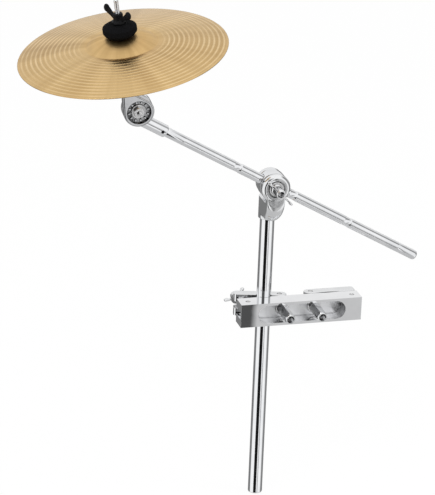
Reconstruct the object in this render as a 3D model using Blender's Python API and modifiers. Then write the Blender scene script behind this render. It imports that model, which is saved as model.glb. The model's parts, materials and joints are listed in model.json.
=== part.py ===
"""Cymbal boom stand with a two-jaw clamp bar.

A straight down tube is held by one hinged jaw of a slotted clamp bar; the
bar's other jaw is free, for the pipe of another stand.  On top of the tube a
cast base carries a drum that grips a knurled boom rod, and the rod's upper end
carries a small tilter, a threaded post and a splash cymbal between felts.

Frame: origin at the centre of the down tube's lower end, +Z up the tube,
+X along the clamp bar (right), -Y towards the side with the boom wing nut (front).
Units: metres in the file, millimetres and degrees in the numbers below.
"""

import math
from types import SimpleNamespace as Side

import bmesh
import bpy
from mathutils import Matrix, Vector

MM = 0.001
SHARP_ANGLE = 35.0        # edges sharper than this are shaded as corners

# ------------------------------------------------------------------ shared sizes
TUBE_R = 9.525            # 3/4 inch tube
TUBE_BOTTOM = 0.0
TUBE_TOP = 415.5
ROD_R = 6.35              # 1/2 inch rod
ROD_HOLE_R = ROD_R + 0.15
BOLT_R = 3.9              # eye bolts, eye studs and swing bolts
BOLT_HOLE_R = BOLT_R + 0.4
BOLT_WASHER_BORE = BOLT_R + 0.35
BOLT_NUT_BORE = BOLT_R + 0.3
PIN_R = 3.0               # pins of the clamp
PIN_HOLE_R = PIN_R + 0.2
BORE_TURN = 7.0           # turns a bore's facets off those of its surroundings

# boom hinge (axis along Y through the tube's axis) and the rod
HINGE_Z = 444.7
ROD_Y = -17.4
ROD_ANGLE = math.radians(29.0)   # below the horizontal, falling towards +X
ROD_LEFT = -190.0         # along the rod from the hinge, towards +X positive
ROD_RIGHT = 230.0

# tilter on the rod's upper end
TILT_ALONG = -216.6       # tilt axis, along the rod from the hinge
TILT_ACROSS = 11.2        # and across it, upwards
TILTER_TWIST = math.radians(6.2)
DISC_R = 19.6
TILTER_FRONT = -34.0
TILTER_SPLIT = -20.2
TILTER_BACK = -9.5
TILT_HOLE_R = 3.4

# cymbal post
POST_TILT = math.radians(9.79)
CYMBAL_CENTRE = Vector((-205.3, ROD_Y, 635.2))   # centre of the rim plane


# ------------------------------------------------------------------ frames
def place(z_axis, x_axis, origin):
    """Matrix whose local Z and X point along the given directions."""
    z = Vector(z_axis).normalized()
    x = Vector(x_axis)
    x = (x - z * x.dot(z)).normalized()
    y = z.cross(x)
    frame = Matrix((x, y, z)).transposed().to_4x4()
    frame.translation = Vector(origin) * MM
    return frame


def shift(x, y, z):
    return Matrix.Translation((x * MM, y * MM, z * MM))


RIGHT = Vector((1.0, 0.0, 0.0))
FRONT = Vector((0.0, -1.0, 0.0))


def facing_front(x, z):
    """Frame on the plane y = 0 with local X to the right, Y up and Z to the front."""
    return place(FRONT, RIGHT, (x, 0, z))


DOWN_ROD = Vector((math.cos(ROD_ANGLE), 0.0, -math.sin(ROD_ANGLE)))
ACROSS_ROD = Vector((math.sin(ROD_ANGLE), 0.0, math.cos(ROD_ANGLE)))
UP_POST = Vector((-math.sin(POST_TILT), 0.0, math.cos(POST_TILT)))
HINGE = Vector((0.0, ROD_Y, HINGE_Z))
TILT_AXIS = HINGE + DOWN_ROD * TILT_ALONG + ACROSS_ROD * TILT_ACROSS   # before the twist

# the whole tilter is turned a little about the rod
TWIST = (Matrix.Translation(HINGE * MM) @ Matrix.Rotation(TILTER_TWIST, 4, DOWN_ROD)
         @ Matrix.Translation(-HINGE * MM))
WORLD = Matrix.Identity(4)
HINGE_FRAME = facing_front(0, HINGE_Z)
ROD_FRAME = place(DOWN_ROD, FRONT, HINGE)
TILT_FRAME = TWIST @ facing_front(TILT_AXIS.x, TILT_AXIS.z)
COLLAR_FRAME = TWIST @ ROD_FRAME
POST_FRAME = TWIST @ place(UP_POST, RIGHT, CYMBAL_CENTRE)

# ------------------------------------------------------------------ clean scene
for old in list(bpy.data.objects):
    bpy.data.objects.remove(old, do_unlink=True)

parts = bpy.data.collections.new("cymbal_boom_stand")
cutters = bpy.data.collections.new("cutters")
bpy.context.scene.collection.children.link(parts)
bpy.context.scene.collection.children.link(cutters)


# ------------------------------------------------------------------ materials
def new_material(name, colour, metallic, roughness):
    material = bpy.data.materials.new(name)
    material.use_nodes = True
    shader = material.node_tree.nodes["Principled BSDF"]
    shader.inputs["Base Color"].default_value = (*colour, 1.0)
    shader.inputs["Metallic"].default_value = metallic
    shader.inputs["Roughness"].default_value = roughness
    material.diffuse_color = (*colour, 1.0)
    return material


CHROME = new_material("chrome", colour=(0.78, 0.79, 0.80), metallic=1.0, roughness=0.08)
SATIN = new_material("satin_chrome", colour=(0.62, 0.63, 0.64), metallic=1.0, roughness=0.25)
STEEL = new_material("steel", colour=(0.56, 0.57, 0.58), metallic=1.0, roughness=0.3)
BLACK = new_material("black_plastic", colour=(0.015, 0.015, 0.016), metallic=0.0,
                     roughness=0.45)
FELT = new_material("black_felt", colour=(0.01, 0.01, 0.011), metallic=0.0, roughness=0.95)
BRASS = new_material("brass", colour=(0.79, 0.58, 0.28), metallic=1.0, roughness=0.28)


# ------------------------------------------------------------------ shape helpers
# A shape made without a material is a hidden helper for a boolean.
def add(name, mesh, frame, material=None):
    piece = bpy.data.objects.new(name, mesh)
    piece.matrix_world = frame
    if material is None:
        cutters.objects.link(piece)
        piece.hide_render = True
        piece.display_type = "WIRE"
    else:
        parts.objects.link(piece)
        mesh.materials.append(material)
    return piece


def to_mesh(shape, name, shaded=True):
    mesh = bpy.data.meshes.new(name)
    shape.to_mesh(mesh)
    shape.free()
    if shaded:
        mesh.shade_smooth()
        mesh.set_sharp_from_angle(angle=math.radians(SHARP_ANGLE))
    return mesh


def round_edges(shape, edges, width):
    bmesh.ops.bevel(shape, geom=edges, offset=width * MM, segments=2,
                    affect="EDGES", profile=0.5)


def cylinder(name, radius, z0, z1, frame, material=None, segments=32, turn=0.0):
    """A cylinder or prism along local Z, its facets turned by `turn` degrees."""
    shape = bmesh.new()
    bmesh.ops.create_cone(shape, cap_ends=True, segments=segments, radius1=radius * MM,
                          radius2=radius * MM, depth=(z1 - z0) * MM,
                          matrix=shift(0, 0, (z0 + z1) / 2)
                          @ Matrix.Rotation(math.radians(turn), 4, "Z"))
    return add(name, to_mesh(shape, name), frame, material)


def box(name, low, high, frame, material=None, bevel=0.0):
    shape = bmesh.new()
    size = [(b - a) * MM for a, b in zip(low, high)]
    middle = [(a + b) / 2 * MM for a, b in zip(low, high)]
    bmesh.ops.create_cube(shape, size=1.0, matrix=Matrix.Translation(middle)
                          @ Matrix.Diagonal((*size, 1.0)))
    if bevel:
        round_edges(shape, shape.edges[:], bevel)
    return add(name, to_mesh(shape, name), frame, material)


def turned(name, profile, frame, material=None, segments=32, closed=False):
    """A profile of (radius, height) turned about local Z with Screw.

    An open profile starts and ends on the axis; a closed one is a ring section.
    """
    shape = bmesh.new()
    points = [shape.verts.new((radius * MM, 0.0, z * MM)) for radius, z in profile]
    for a, b in zip(points, points[1:]):
        shape.edges.new((a, b))
    if closed:
        shape.edges.new((points[-1], points[0]))
    piece = add(name, to_mesh(shape, name, shaded=False), frame, material)
    screw = piece.modifiers.new("Screw", "SCREW")
    screw.steps = screw.render_steps = segments
    screw.use_merge_vertices = True
    screw.merge_threshold = 1e-6
    screw.use_smooth_shade = True
    return piece


def fill_outline(name, points, thickness):
    """Mesh of a flat outline filled by a 2D curve, centred on z = 0."""
    curve = bpy.data.curves.new(name, "CURVE")
    curve.dimensions = "2D"
    curve.fill_mode = "BOTH"
    curve.extrude = thickness / 2 * MM
    spline = curve.splines.new("POLY")
    spline.points.add(len(points) - 1)
    for point, (x, y) in zip(spline.points, points):
        point.co = (x * MM, y * MM, 0.0, 1.0)
    spline.use_cyclic_u = True
    carrier = bpy.data.objects.new(name + "_curve", curve)
    parts.objects.link(carrier)
    bpy.context.view_layer.update()
    depsgraph = bpy.context.evaluated_depsgraph_get()
    mesh = bpy.data.meshes.new_from_object(carrier.evaluated_get(depsgraph))
    bpy.data.objects.remove(carrier, do_unlink=True)
    return mesh


def outline(name, points, z0, z1, frame, material=None, bevel=0.0):
    """A flat outline of (x, y) points extruded in local Z; bevel rounds both rims."""
    filled = fill_outline(name, points, z1 - z0)
    shape = bmesh.new()
    shape.from_mesh(filled)
    bpy.data.meshes.remove(filled)
    bmesh.ops.remove_doubles(shape, verts=shape.verts[:], dist=1e-6)
    bmesh.ops.translate(shape, verts=shape.verts[:], vec=(0, 0, (z0 + z1) / 2 * MM))
    bmesh.ops.recalc_face_normals(shape, faces=shape.faces[:])
    if bevel:
        rims = [edge for edge in shape.edges if edge.is_manifold
                and edge.calc_face_angle(0) > math.radians(60)
                and abs(edge.verts[0].co.z - edge.verts[1].co.z) < 1e-7]
        round_edges(shape, rims, bevel)
    return add(name, to_mesh(shape, name), frame, material)


def loft(name, sections, frame):
    """A helper body drawn through matching rings of points."""
    shape = bmesh.new()
    rings = [[shape.verts.new([value * MM for value in point]) for point in section]
             for section in sections]
    count = len(rings[0])
    for a, b in zip(rings, rings[1:]):
        for i in range(count):
            j = (i + 1) % count
            shape.faces.new((a[i], a[j], b[j], b[i]))
    shape.faces.new(list(reversed(rings[0])))
    shape.faces.new(rings[-1])
    bmesh.ops.recalc_face_normals(shape, faces=shape.faces[:])
    return add(name, to_mesh(shape, name, shaded=False), frame)


def arc(centre_x, centre_y, radius, start, end, steps):
    """steps + 1 points of an arc, angles in degrees."""
    angles = [math.radians(start + (end - start) * i / steps) for i in range(steps + 1)]
    return [(centre_x + radius * math.cos(angle), centre_y + radius * math.sin(angle))
            for angle in angles]


def combine(piece, other, operation):
    boolean = piece.modifiers.new(operation.title(), "BOOLEAN")
    boolean.operation = operation
    boolean.solver = "EXACT"
    boolean.object = other


def join(piece, other):
    combine(piece, other, "UNION")


def cut(piece, other):
    combine(piece, other, "DIFFERENCE")


def bore(piece, name, radius, z0, z1, frame, segments=20, turn=0.0):
    cut(piece, cylinder(name, radius, z0, z1, frame, segments=segments, turn=turn))


# ------------------------------------------------------------------ shared hardware
def washer(name, radius, hole, z0, z1, frame, segments=24):
    """A steel washer with its upper outer edge chamfered."""
    edge = 0.25
    turned(name, [(hole, z1), (radius - edge, z1), (radius, z1 - edge), (radius, z0),
                  (hole, z0)], frame, STEEL, segments, closed=True)


def wing_nut(name, frame, material, hub, length, hole, span, rise, thick=2.6,
             turn=0.0, base_radius=None):
    """A hub with a pair of paddle wings in its local XZ plane.

    span is the wing tips' radius, rise their height above the hub's end.
    """
    frame = frame @ Matrix.Rotation(math.radians(turn), 4, "Z")
    base = hub + 1.2 if base_radius is None else base_radius
    nut = turned(name, [
        (0.0, length), (hub - 1.4, length), (hub - 0.4, length - 1.0),
        (hub, length - 2.6), (hub, 4.2), (base, 2.6), (base, 0.6),
        (base - 0.6, 0.0), (0.0, 0.0)], frame, material, segments=20)
    tip = length + rise
    right_side = [      # (x, z), from the hub's foot round the wing to its top
        (hub * 0.5, 3.4), (hub + 2.0, 4.0), (hub + 5.5, 6.4),
        (span * 0.74, tip * 0.46), (span * 0.93, tip * 0.62), (span, tip * 0.78),
        (span * 0.985, tip * 0.93), (span * 0.90, tip), (span * 0.78, tip * 0.97),
        (span * 0.64, tip * 0.84), (hub + 4.0, length * 0.84),
        (hub + 1.2, length * 0.72), (hub * 0.5, length * 0.70)]
    left_side = [(-x, z) for x, z in reversed(right_side)]
    # the outline lies in the local XZ plane: its own Z is the local -Y
    join(nut, outline(name + "_wings", right_side + left_side, -thick / 2, thick / 2,
                      frame @ Matrix.Rotation(math.pi / 2, 4, "X")))
    bore(nut, name + "_bore", hole, -2.0, length + 2.0, frame, segments=16,
         turn=BORE_TURN)


# ------------------------------------------------------------------ down tube
TUBE_INNER_R = TUBE_R - 1.3
PLUG_R = TUBE_INNER_R - 0.3
PLUG_H = 14.0


def down_tube():
    turned("down_tube", [
        (TUBE_INNER_R, TUBE_TOP), (TUBE_R - 0.4, TUBE_TOP), (TUBE_R, TUBE_TOP - 0.4),
        (TUBE_R, TUBE_BOTTOM + 1.2), (TUBE_R - 0.35, TUBE_BOTTOM + 0.35),
        (TUBE_R - 0.9, TUBE_BOTTOM), (TUBE_INNER_R, TUBE_BOTTOM)],
        WORLD, CHROME, segments=40, closed=True)


def tube_end_plug():
    turned("tube_end_plug", [
        (0.0, PLUG_H), (PLUG_R - 1.0, PLUG_H), (PLUG_R, PLUG_H - 2.0),
        (PLUG_R, TUBE_BOTTOM), (0.0, TUBE_BOTTOM)], WORLD, BLACK)


# ------------------------------------------------------------------ cast base
BASE_BOTTOM = 394.0
BASE_R = 12.1             # collar around the tube
BASE_FRONT = -36.5
BASE_NECK_TOP = 424.6
EAR_R = 19.2
EAR_BACK = -27.7
RECESS_R = 11.6
RECESS_DEPTH = 3.0

# the lobe's underside curves down and back from the front face to the collar
UNDERSIDE_FRONT_Z = 421.0
UNDERSIDE_BACK_Z = BASE_BOTTOM + 0.2
UNDERSIDE_BACK_Y = -12.0
UNDERSIDE_POWER = 2.5     # roundness of the curve
LOBE_HALF_W = BASE_R - 0.05
LOBE_EAR_TOP = 436.0      # inside the ear
LOBE_NECK_TOP = BASE_NECK_TOP - 0.1
LOBE_STATIONS = (         # y, lift of the underside, top
    (BASE_FRONT + 0.2, 1.0, 435.0),
    (BASE_FRONT + 0.8, 0.0, LOBE_EAR_TOP),
    (BASE_FRONT + 2.0, 0.0, LOBE_EAR_TOP),
    (BASE_FRONT + 4.0, 0.0, LOBE_EAR_TOP),
    (EAR_BACK - 0.3, 0.0, LOBE_EAR_TOP),
    (EAR_BACK, 0.0, LOBE_NECK_TOP),
    (-20.5, 0.0, LOBE_NECK_TOP),
    (UNDERSIDE_BACK_Y, 0.0, LOBE_NECK_TOP),
    (-2.0, 0.0, LOBE_NECK_TOP),
)


def underside(y):
    """Height of the lobe's lowest line at depth y."""
    along = min(1.0, (y - BASE_FRONT) / (UNDERSIDE_BACK_Y - BASE_FRONT))
    drop = (1.0 - (1.0 - along) ** UNDERSIDE_POWER) ** (1 / UNDERSIDE_POWER)
    return UNDERSIDE_FRONT_Z + (UNDERSIDE_BACK_Z - UNDERSIDE_FRONT_Z) * drop


def lobe_ring(y, lift, top):
    """A U section across X: straight sides and a half-round underside."""
    centre_z = underside(y) + lift + LOBE_HALF_W
    return ([(-LOBE_HALF_W, y, top)]
            + [(x, y, z) for x, z in arc(0, centre_z, LOBE_HALF_W, 180, 360, 14)]
            + [(LOBE_HALF_W, y, top)])


def tilter_base():
    base = cylinder("tilter_base", BASE_R, BASE_BOTTOM, BASE_NECK_TOP, WORLD, CHROME,
                    segments=36)
    join(base, loft("base_lobe", [lobe_ring(*station) for station in LOBE_STATIONS],
                    WORLD))
    join(base, turned("base_ear", [
        (0.0, -BASE_FRONT), (EAR_R - 3.6, -BASE_FRONT),
        (EAR_R - 1.5, -BASE_FRONT - 0.7), (EAR_R - 0.4, -BASE_FRONT - 2.0),
        (EAR_R, -BASE_FRONT - 3.8), (EAR_R, -EAR_BACK), (0.0, -EAR_BACK)],
        HINGE_FRAME, segments=44))
    bore(base, "base_socket_cut", TUBE_R + 0.12, BASE_BOTTOM - 5, TUBE_TOP + 0.6, WORLD,
         segments=40)
    bore(base, "base_recess_cut", RECESS_R, -BASE_FRONT - RECESS_DEPTH, -BASE_FRONT + 5,
         HINGE_FRAME, segments=36)
    bore(base, "base_bolt_cut", BOLT_HOLE_R, -EAR_BACK - 5, -BASE_FRONT + 5, HINGE_FRAME)


# ------------------------------------------------------------------ rod drum
DRUM_R = 19.0
DRUM_FRONT = -27.3
DRUM_BACK = -7.5
DRUM_BORE = 11.7
DRUM_CHAMFER = 0.9
CAP_R = 18.3
CAP_FRONT = DRUM_BACK + 0.3
CAP_BACK = 3.0
EYE_R = 9.7
EYE_W = 8.0


def rod_drum():
    rim = DRUM_R - DRUM_CHAMFER
    drum = turned("rod_drum", [
        (DRUM_BORE, -DRUM_FRONT), (rim, -DRUM_FRONT),
        (DRUM_R, -DRUM_FRONT - DRUM_CHAMFER), (DRUM_R, -DRUM_BACK + DRUM_CHAMFER),
        (rim, -DRUM_BACK), (DRUM_BORE, -DRUM_BACK)],
        HINGE_FRAME, CHROME, segments=44, closed=True)
    bore(drum, "drum_rod_cut", ROD_HOLE_R, -30, 30, ROD_FRAME, segments=32)


def drum_cap():
    turned("drum_cap", [
        (0.0, -CAP_FRONT), (CAP_R - 0.6, -CAP_FRONT), (CAP_R, -CAP_FRONT - 0.6),
        (CAP_R, -CAP_BACK + 3.4), (CAP_R - 0.9, -CAP_BACK + 1.5),
        (CAP_R - 2.6, -CAP_BACK + 0.4), (CAP_R - 4.8, -CAP_BACK), (0.0, -CAP_BACK)],
        HINGE_FRAME, CHROME, segments=44)


def eye_bolt():
    """A ring around the rod, its shank through the ear to the wing nut."""
    eye = cylinder("eye_bolt", EYE_R, -EYE_W / 2, EYE_W / 2, ROD_FRAME, CHROME)
    join(eye, cylinder("eye_shank", BOLT_R, -ROD_Y + EYE_R - 2.4, 50.0, HINGE_FRAME,
                       segments=20))
    bore(eye, "eye_hole", ROD_HOLE_R, -EYE_W, EYE_W, ROD_FRAME, segments=32)


def boom_nut():
    washer("boom_washer", 9.6, BOLT_WASHER_BORE, 33.8, 35.3, HINGE_FRAME)
    wing_nut("boom_wing_nut", HINGE_FRAME @ shift(0, 0, 35.6), CHROME, hub=6.2,
             length=21.9, hole=BOLT_NUT_BORE, span=23.9, rise=-2.2, turn=-45.0)


# ------------------------------------------------------------------ boom rod
KNURL_COUNT = 4
KNURL_LEN = 77.3
KNURL_PITCH = 87.1
KNURL_START = -139.0      # along the rod from the hinge
BAND_R = ROD_R - 0.4      # shallow bands between the knurled lengths


def boom_rod():
    profile = [(0.0, ROD_RIGHT), (ROD_R - 2.2, ROD_RIGHT),
               (ROD_R - 0.7, ROD_RIGHT - 0.9), (ROD_R, ROD_RIGHT - 2.6)]
    for i in reversed(range(KNURL_COUNT)):
        start = KNURL_START + i * KNURL_PITCH
        end = start + KNURL_LEN
        if i < KNURL_COUNT - 1:
            profile += [(BAND_R, end + 0.4), (ROD_R, end - 0.2)]
        profile += [(ROD_R, start + 0.2)]
        if i:
            profile += [(BAND_R, start - 0.4)]
    profile += [(ROD_R, ROD_LEFT + 1.0), (ROD_R - 1.0, ROD_LEFT), (0.0, ROD_LEFT)]
    turned("boom_rod", profile, ROD_FRAME, CHROME, segments=24)


# ------------------------------------------------------------------ tilter socket
SOCKET_FACE = -TILTER_SPLIT - 0.3
COLLAR_R = 8.2
COLLAR_END = -166.0       # along the rod from the hinge
COLLAR_INNER_END = -207.0
SCREW_ALONG = -172.0
# set screw square to the rod, on the side towards the front
SCREW_FRAME = TWIST @ place(FRONT, DOWN_ROD, HINGE + DOWN_ROD * SCREW_ALONG)


def tilter_socket():
    """Rear disc with its collar on the rod."""
    socket = turned("tilter_socket", [
        (0.0, SOCKET_FACE), (DISC_R - 0.5, SOCKET_FACE), (DISC_R, SOCKET_FACE - 0.5),
        (DISC_R, -TILTER_BACK + 2.6), (DISC_R - 0.8, -TILTER_BACK + 0.9),
        (DISC_R - 2.6, -TILTER_BACK), (0.0, -TILTER_BACK)],
        TILT_FRAME, CHROME, segments=44)
    join(socket, turned("socket_collar", [
        (0.0, COLLAR_END), (COLLAR_R - 0.8, COLLAR_END), (COLLAR_R, COLLAR_END - 0.8),
        (COLLAR_R, COLLAR_INNER_END), (0.0, COLLAR_INNER_END)],
        COLLAR_FRAME, segments=36))
    # clearance for the front ear, and the rod's own blind bore
    bore(socket, "socket_ear_cut", DISC_R + 0.6, SOCKET_FACE, 60, TILT_FRAME,
         segments=44)
    bore(socket, "socket_rod_cut", ROD_R + 0.12, ROD_LEFT - 0.6, COLLAR_END + 10,
         COLLAR_FRAME, segments=32)
    bore(socket, "socket_bolt_cut", TILT_HOLE_R, 0, 60, TILT_FRAME)
    bore(socket, "socket_screw_cut", 2.15, 5.0, 12, SCREW_FRAME, segments=16)


def socket_set_screw():
    screw = cylinder("socket_set_screw", 2.0, ROD_R + 0.25, COLLAR_R - 0.35,
                     SCREW_FRAME, STEEL, segments=16)
    bore(screw, "set_screw_hex", 1.1, COLLAR_R - 1.1, 12, SCREW_FRAME, segments=6)


# ------------------------------------------------------------------ tilter head
NECK_H = 30.0             # top of the ear above the tilt axis
NECK_HALF_W = 8.6
WEB_HALF_W = 8.0
WEB_HALF_D = 7.0
WEB_LOW, WEB_HIGH = 22.5, 30.0   # above the tilt axis


def post_x(height):
    """Post's x from the tilt axis, at a height above that axis."""
    slope = UP_POST.x / UP_POST.z
    at_axis = (CYMBAL_CENTRE.x - slope * (CYMBAL_CENTRE.z - TILT_AXIS.z)
               - TILT_AXIS.x)
    return at_axis + slope * height


def tilter_head():
    """Front teardrop ear, with a boss for the post on a web above it."""
    neck_left = post_x(NECK_H) - NECK_HALF_W
    neck_right = post_x(NECK_H) + NECK_HALF_W
    teardrop = (arc(0, 0, DISC_R, 176.0, 405.0, 34)
                + [(neck_right, NECK_H - 6.0), (neck_right, NECK_H),
                   (neck_left, NECK_H), (neck_left, NECK_H - 6.0)])
    head = outline("tilter_head", teardrop, -TILTER_SPLIT, -TILTER_FRONT, TILT_FRAME,
                   SATIN, bevel=1.2)
    join(head, turned("head_boss", [
        (0.0, -35.0), (6.6, -35.0), (8.2, -36.4), (8.6, -38.5), (8.6, -50.5),
        (0.0, -50.5)], POST_FRAME))
    web_x = post_x(24.0)
    join(head, box("head_web",
                   (-WEB_HALF_W + web_x, ROD_Y - WEB_HALF_D, TILT_AXIS.z + WEB_LOW),
                   (WEB_HALF_W + web_x, ROD_Y + WEB_HALF_D, TILT_AXIS.z + WEB_HIGH),
                   TWIST @ shift(TILT_AXIS.x, 0, 0), bevel=1.2))
    bore(head, "head_recess_cut", 15.4, -TILTER_FRONT - 5.0, 60, TILT_FRAME, segments=40)
    bore(head, "head_bolt_cut", TILT_HOLE_R, 0, 60, TILT_FRAME)
    bore(head, "head_post_cut", 3.25, -46.0, -30.0, POST_FRAME)


def tilter_bolt():
    """Bolt through both discs: cheese head behind, washer and nut in the recess."""
    under_head = -TILTER_BACK - 0.3
    head_end = -TILTER_BACK - 5.2
    turned("tilter_bolt", [
        (0.0, 37.2), (2.5, 37.2), (3.0, 36.6), (3.0, under_head), (7.0, under_head),
        (7.0, head_end + 1.0), (6.0, head_end), (0.0, head_end)],
        TILT_FRAME, STEEL, segments=28)
    washer("tilter_washer", 9.4, TILT_HOLE_R, -TILTER_FRONT - 4.7, -TILTER_FRONT - 3.3,
           TILT_FRAME)
    nut = cylinder("tilter_nut", 7.2, -TILTER_FRONT - 3.0, -TILTER_FRONT + 1.9,
                   TILT_FRAME, STEEL, segments=6, turn=12)
    bore(nut, "tilter_nut_bore", 3.3, 20, 50, TILT_FRAME)


# ------------------------------------------------------------------ cymbal and post
# heights are along the post, from the cymbal's rim plane
POST_HOLE_R = 3.3
SLEEVE_BORE = 3.25
SEAT_TOP = 7.3            # felt and sleeve stand on this level
FELT_BORE = 5.2
UPPER_FELT_R = 21.8
CYMBAL_R = 132.8
CYMBAL_T = 1.1
BOW_H = 12.0
BOW_POWER = 1.55
BELL_R = 45.0
BELL_H = 23.3
BELL_POWER = 2.3
CYMBAL_RADII = (5.6, 18.0, 28.0, 37.0, 42.0, BELL_R, 58.0, 82.0, 106.0, CYMBAL_R)


def cymbal_post():
    turned("cymbal_post", [
        (0.0, 72.0), (1.6, 72.0), (2.6, 71.2), (3.0, 69.8), (3.0, 5.0), (5.0, 4.4),
        (5.0, -34.7), (3.0, -34.7), (3.0, -45.6), (0.0, -45.6)],
        POST_FRAME, STEEL, segments=24)


def cymbal_seat():
    washer("seat_washer", 13.5, POST_HOLE_R, 5.3, 7.0, POST_FRAME, segments=32)
    turned("cymbal_sleeve", [
        (SLEEVE_BORE, 40.2), (4.6, 40.2), (4.9, 39.6), (4.9, SEAT_TOP),
        (SLEEVE_BORE, SEAT_TOP)], POST_FRAME, BLACK, segments=20, closed=True)
    turned("lower_felt", [
        (FELT_BORE, 21.3), (15.5, 21.0), (17.0, 19.4), (17.0, 9.0), (15.6, SEAT_TOP),
        (FELT_BORE, SEAT_TOP)], POST_FRAME, FELT, segments=28, closed=True)


def cymbal_height(radius):
    """Height of the upper side above the rim plane."""
    if radius >= BELL_R:
        inward = (CYMBAL_R - radius) / (CYMBAL_R - BELL_R)
        return BOW_H * (1.0 - (1.0 - inward) ** BOW_POWER)
    return BOW_H + (BELL_H - BOW_H) * (1.0 - (radius / BELL_R) ** BELL_POWER)


def cymbal():
    top = [(radius, cymbal_height(radius)) for radius in CYMBAL_RADII]
    underneath = [(radius, z - CYMBAL_T) for radius, z in reversed(top)]
    turned("cymbal", top + underneath, POST_FRAME, BRASS, segments=44, closed=True)


def cymbal_top():
    turned("upper_felt", [
        (FELT_BORE, 39.6), (15.0, 39.6), (UPPER_FELT_R, 35.4), (UPPER_FELT_R, 28.4),
        (17.6, 23.8), (FELT_BORE, 23.8)], POST_FRAME, FELT, segments=28, closed=True)
    wing_nut("cymbal_wing_nut", POST_FRAME @ shift(0, 0, 40.6), BLACK, hub=6.2,
             length=13.0, hole=POST_HOLE_R, span=22.5, rise=5.5, thick=3.2,
             turn=-57.0, base_radius=9.0)


# ------------------------------------------------------------------ clamp
BAR_LEFT, BAR_RIGHT = -38.8, 126.2
BAR_FRONT, BAR_BACK = -30.5, -6.5
BAR_Z = 268.8
BAR_HALF_H = 16.0
POCKET_LEFT, POCKET_RIGHT = -15.1, 104.2
POCKET_R = 12.35
POCKET_FLOOR = -10.5
SWING_Y = -19.0           # swing bolts' pins
JAW_HALF_H = 15.0
JAW_SEAT_X = 21.0         # along the jaw from its hinge pin
CLAMP_EYE_R = 6.8
SHANK_START = 4.0         # shanks of the clamp's eyes start this far from the pin
BOLT_BEYOND_NUT = 13.8    # swing bolt's end, past the foot of its wing nut
SLEEVE_FRONT = 52.5

# left side holds the tube; x and y are in the stand's frame
SIDES = (
    Side(tag="left", outward=-1, bar_end=BAR_LEFT, seat_x=0.0, stud_x=22.4,
         swing_x=-27.0, pin_y=3.3, nut_y=34.7, jaw_tilt=math.radians(14.0),
         bar_seat_r=10.5, bar_seat_depth=3.225, bar_seat_segments=40,
         jaw_seat_r=10.5, jaw_seat_y=-9.45, jaw_seat_segments=40,
         sleeve_turn=8.0, wing_turn=-32.0),
    Side(tag="right", outward=1, bar_end=BAR_RIGHT, seat_x=87.0, stud_x=66.0,
         swing_x=115.5, pin_y=4.9, nut_y=20.7, jaw_tilt=0.0,
         bar_seat_r=56.5, bar_seat_depth=0.5, bar_seat_segments=160,
         jaw_seat_r=76.5, jaw_seat_y=-81.9, jaw_seat_segments=160,
         sleeve_turn=22.0, wing_turn=4.0),
)


def hinge_pin_centre(side):
    return Vector((side.stud_x, side.pin_y, BAR_Z))


def swing_frame(side):
    return shift(side.swing_x, SWING_Y, BAR_Z)


def clamp_bar():
    bar_frame = shift(0, 0, BAR_Z)
    low, high = -BAR_HALF_H - 3, BAR_HALF_H + 3    # cuts run right through the height
    bar = box("clamp_bar", (BAR_LEFT, BAR_FRONT, -BAR_HALF_H),
              (BAR_RIGHT, BAR_BACK, BAR_HALF_H), bar_frame, CHROME, bevel=1.1)
    # round-ended pocket, cut from the front face back to its floor
    pocket = (arc(POCKET_RIGHT - POCKET_R, 0, POCKET_R, -90, 90, 14)
              + arc(POCKET_LEFT + POCKET_R, 0, POCKET_R, 90, 270, 14))
    cut(bar, outline("bar_pocket_cut", pocket, -POCKET_FLOOR, 45,
                     facing_front(0, BAR_Z)))
    for side in SIDES:
        prefix = f"bar_{side.tag}"
        slot_left, slot_right = sorted((side.swing_x - side.outward * 7.6,
                                        side.bar_end + side.outward * 5))
        cut(bar, box(f"{prefix}_slot_cut", (slot_left, -26.8, -5.2),
                     (slot_right, BAR_BACK + 5, 5.2), bar_frame))
        bore(bar, f"{prefix}_pin_cut", PIN_HOLE_R, low, high, swing_frame(side))
        seat_y = BAR_BACK - side.bar_seat_depth + side.bar_seat_r
        bore(bar, f"{prefix}_seat_cut", side.bar_seat_r, low, high,
             shift(side.seat_x, seat_y, BAR_Z), segments=side.bar_seat_segments)
        bore(bar, f"{prefix}_stud_cut", BOLT_HOLE_R, 0, 20,
             facing_front(side.stud_x, BAR_Z), turn=BORE_TURN)


def clamp_jaw(side):
    """A bar with one scooped seat facing the clamp bar and a fork at each end.

    Local X runs outward from the hinge pin, local Y away from the clamp bar.
    """
    along = Vector((side.outward * math.cos(side.jaw_tilt), math.sin(side.jaw_tilt), 0))
    away = Vector((-side.outward * math.sin(side.jaw_tilt), math.cos(side.jaw_tilt), 0))
    frame = place(along.cross(away), along, hinge_pin_centre(side))
    prefix = f"{side.tag}_jaw"
    # round hinge end, outer end with rounded corners
    plan = (arc(-2.4, -0.2, 7.0, 90, 270, 10)
            + arc(56.0, -3.2, 4.0, -90, 0, 4) + arc(56.0, 2.8, 4.0, 0, 90, 4))
    jaw = outline(prefix, plan, -JAW_HALF_H, JAW_HALF_H, frame, CHROME, bevel=1.0)
    bore(jaw, f"{prefix}_seat", side.jaw_seat_r, -20, 20,
         frame @ shift(JAW_SEAT_X, side.jaw_seat_y, 0), segments=side.jaw_seat_segments)
    cut(jaw, box(f"{prefix}_eye_slot", (-20, -12, -4.6), (9.0, 12, 4.6), frame))
    cut(jaw, box(f"{prefix}_bolt_slot", (44.0, -12, -4.8), (70, 12, 4.8), frame))
    bore(jaw, f"{prefix}_pin_cut", PIN_HOLE_R, -20, 20, frame)


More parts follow.
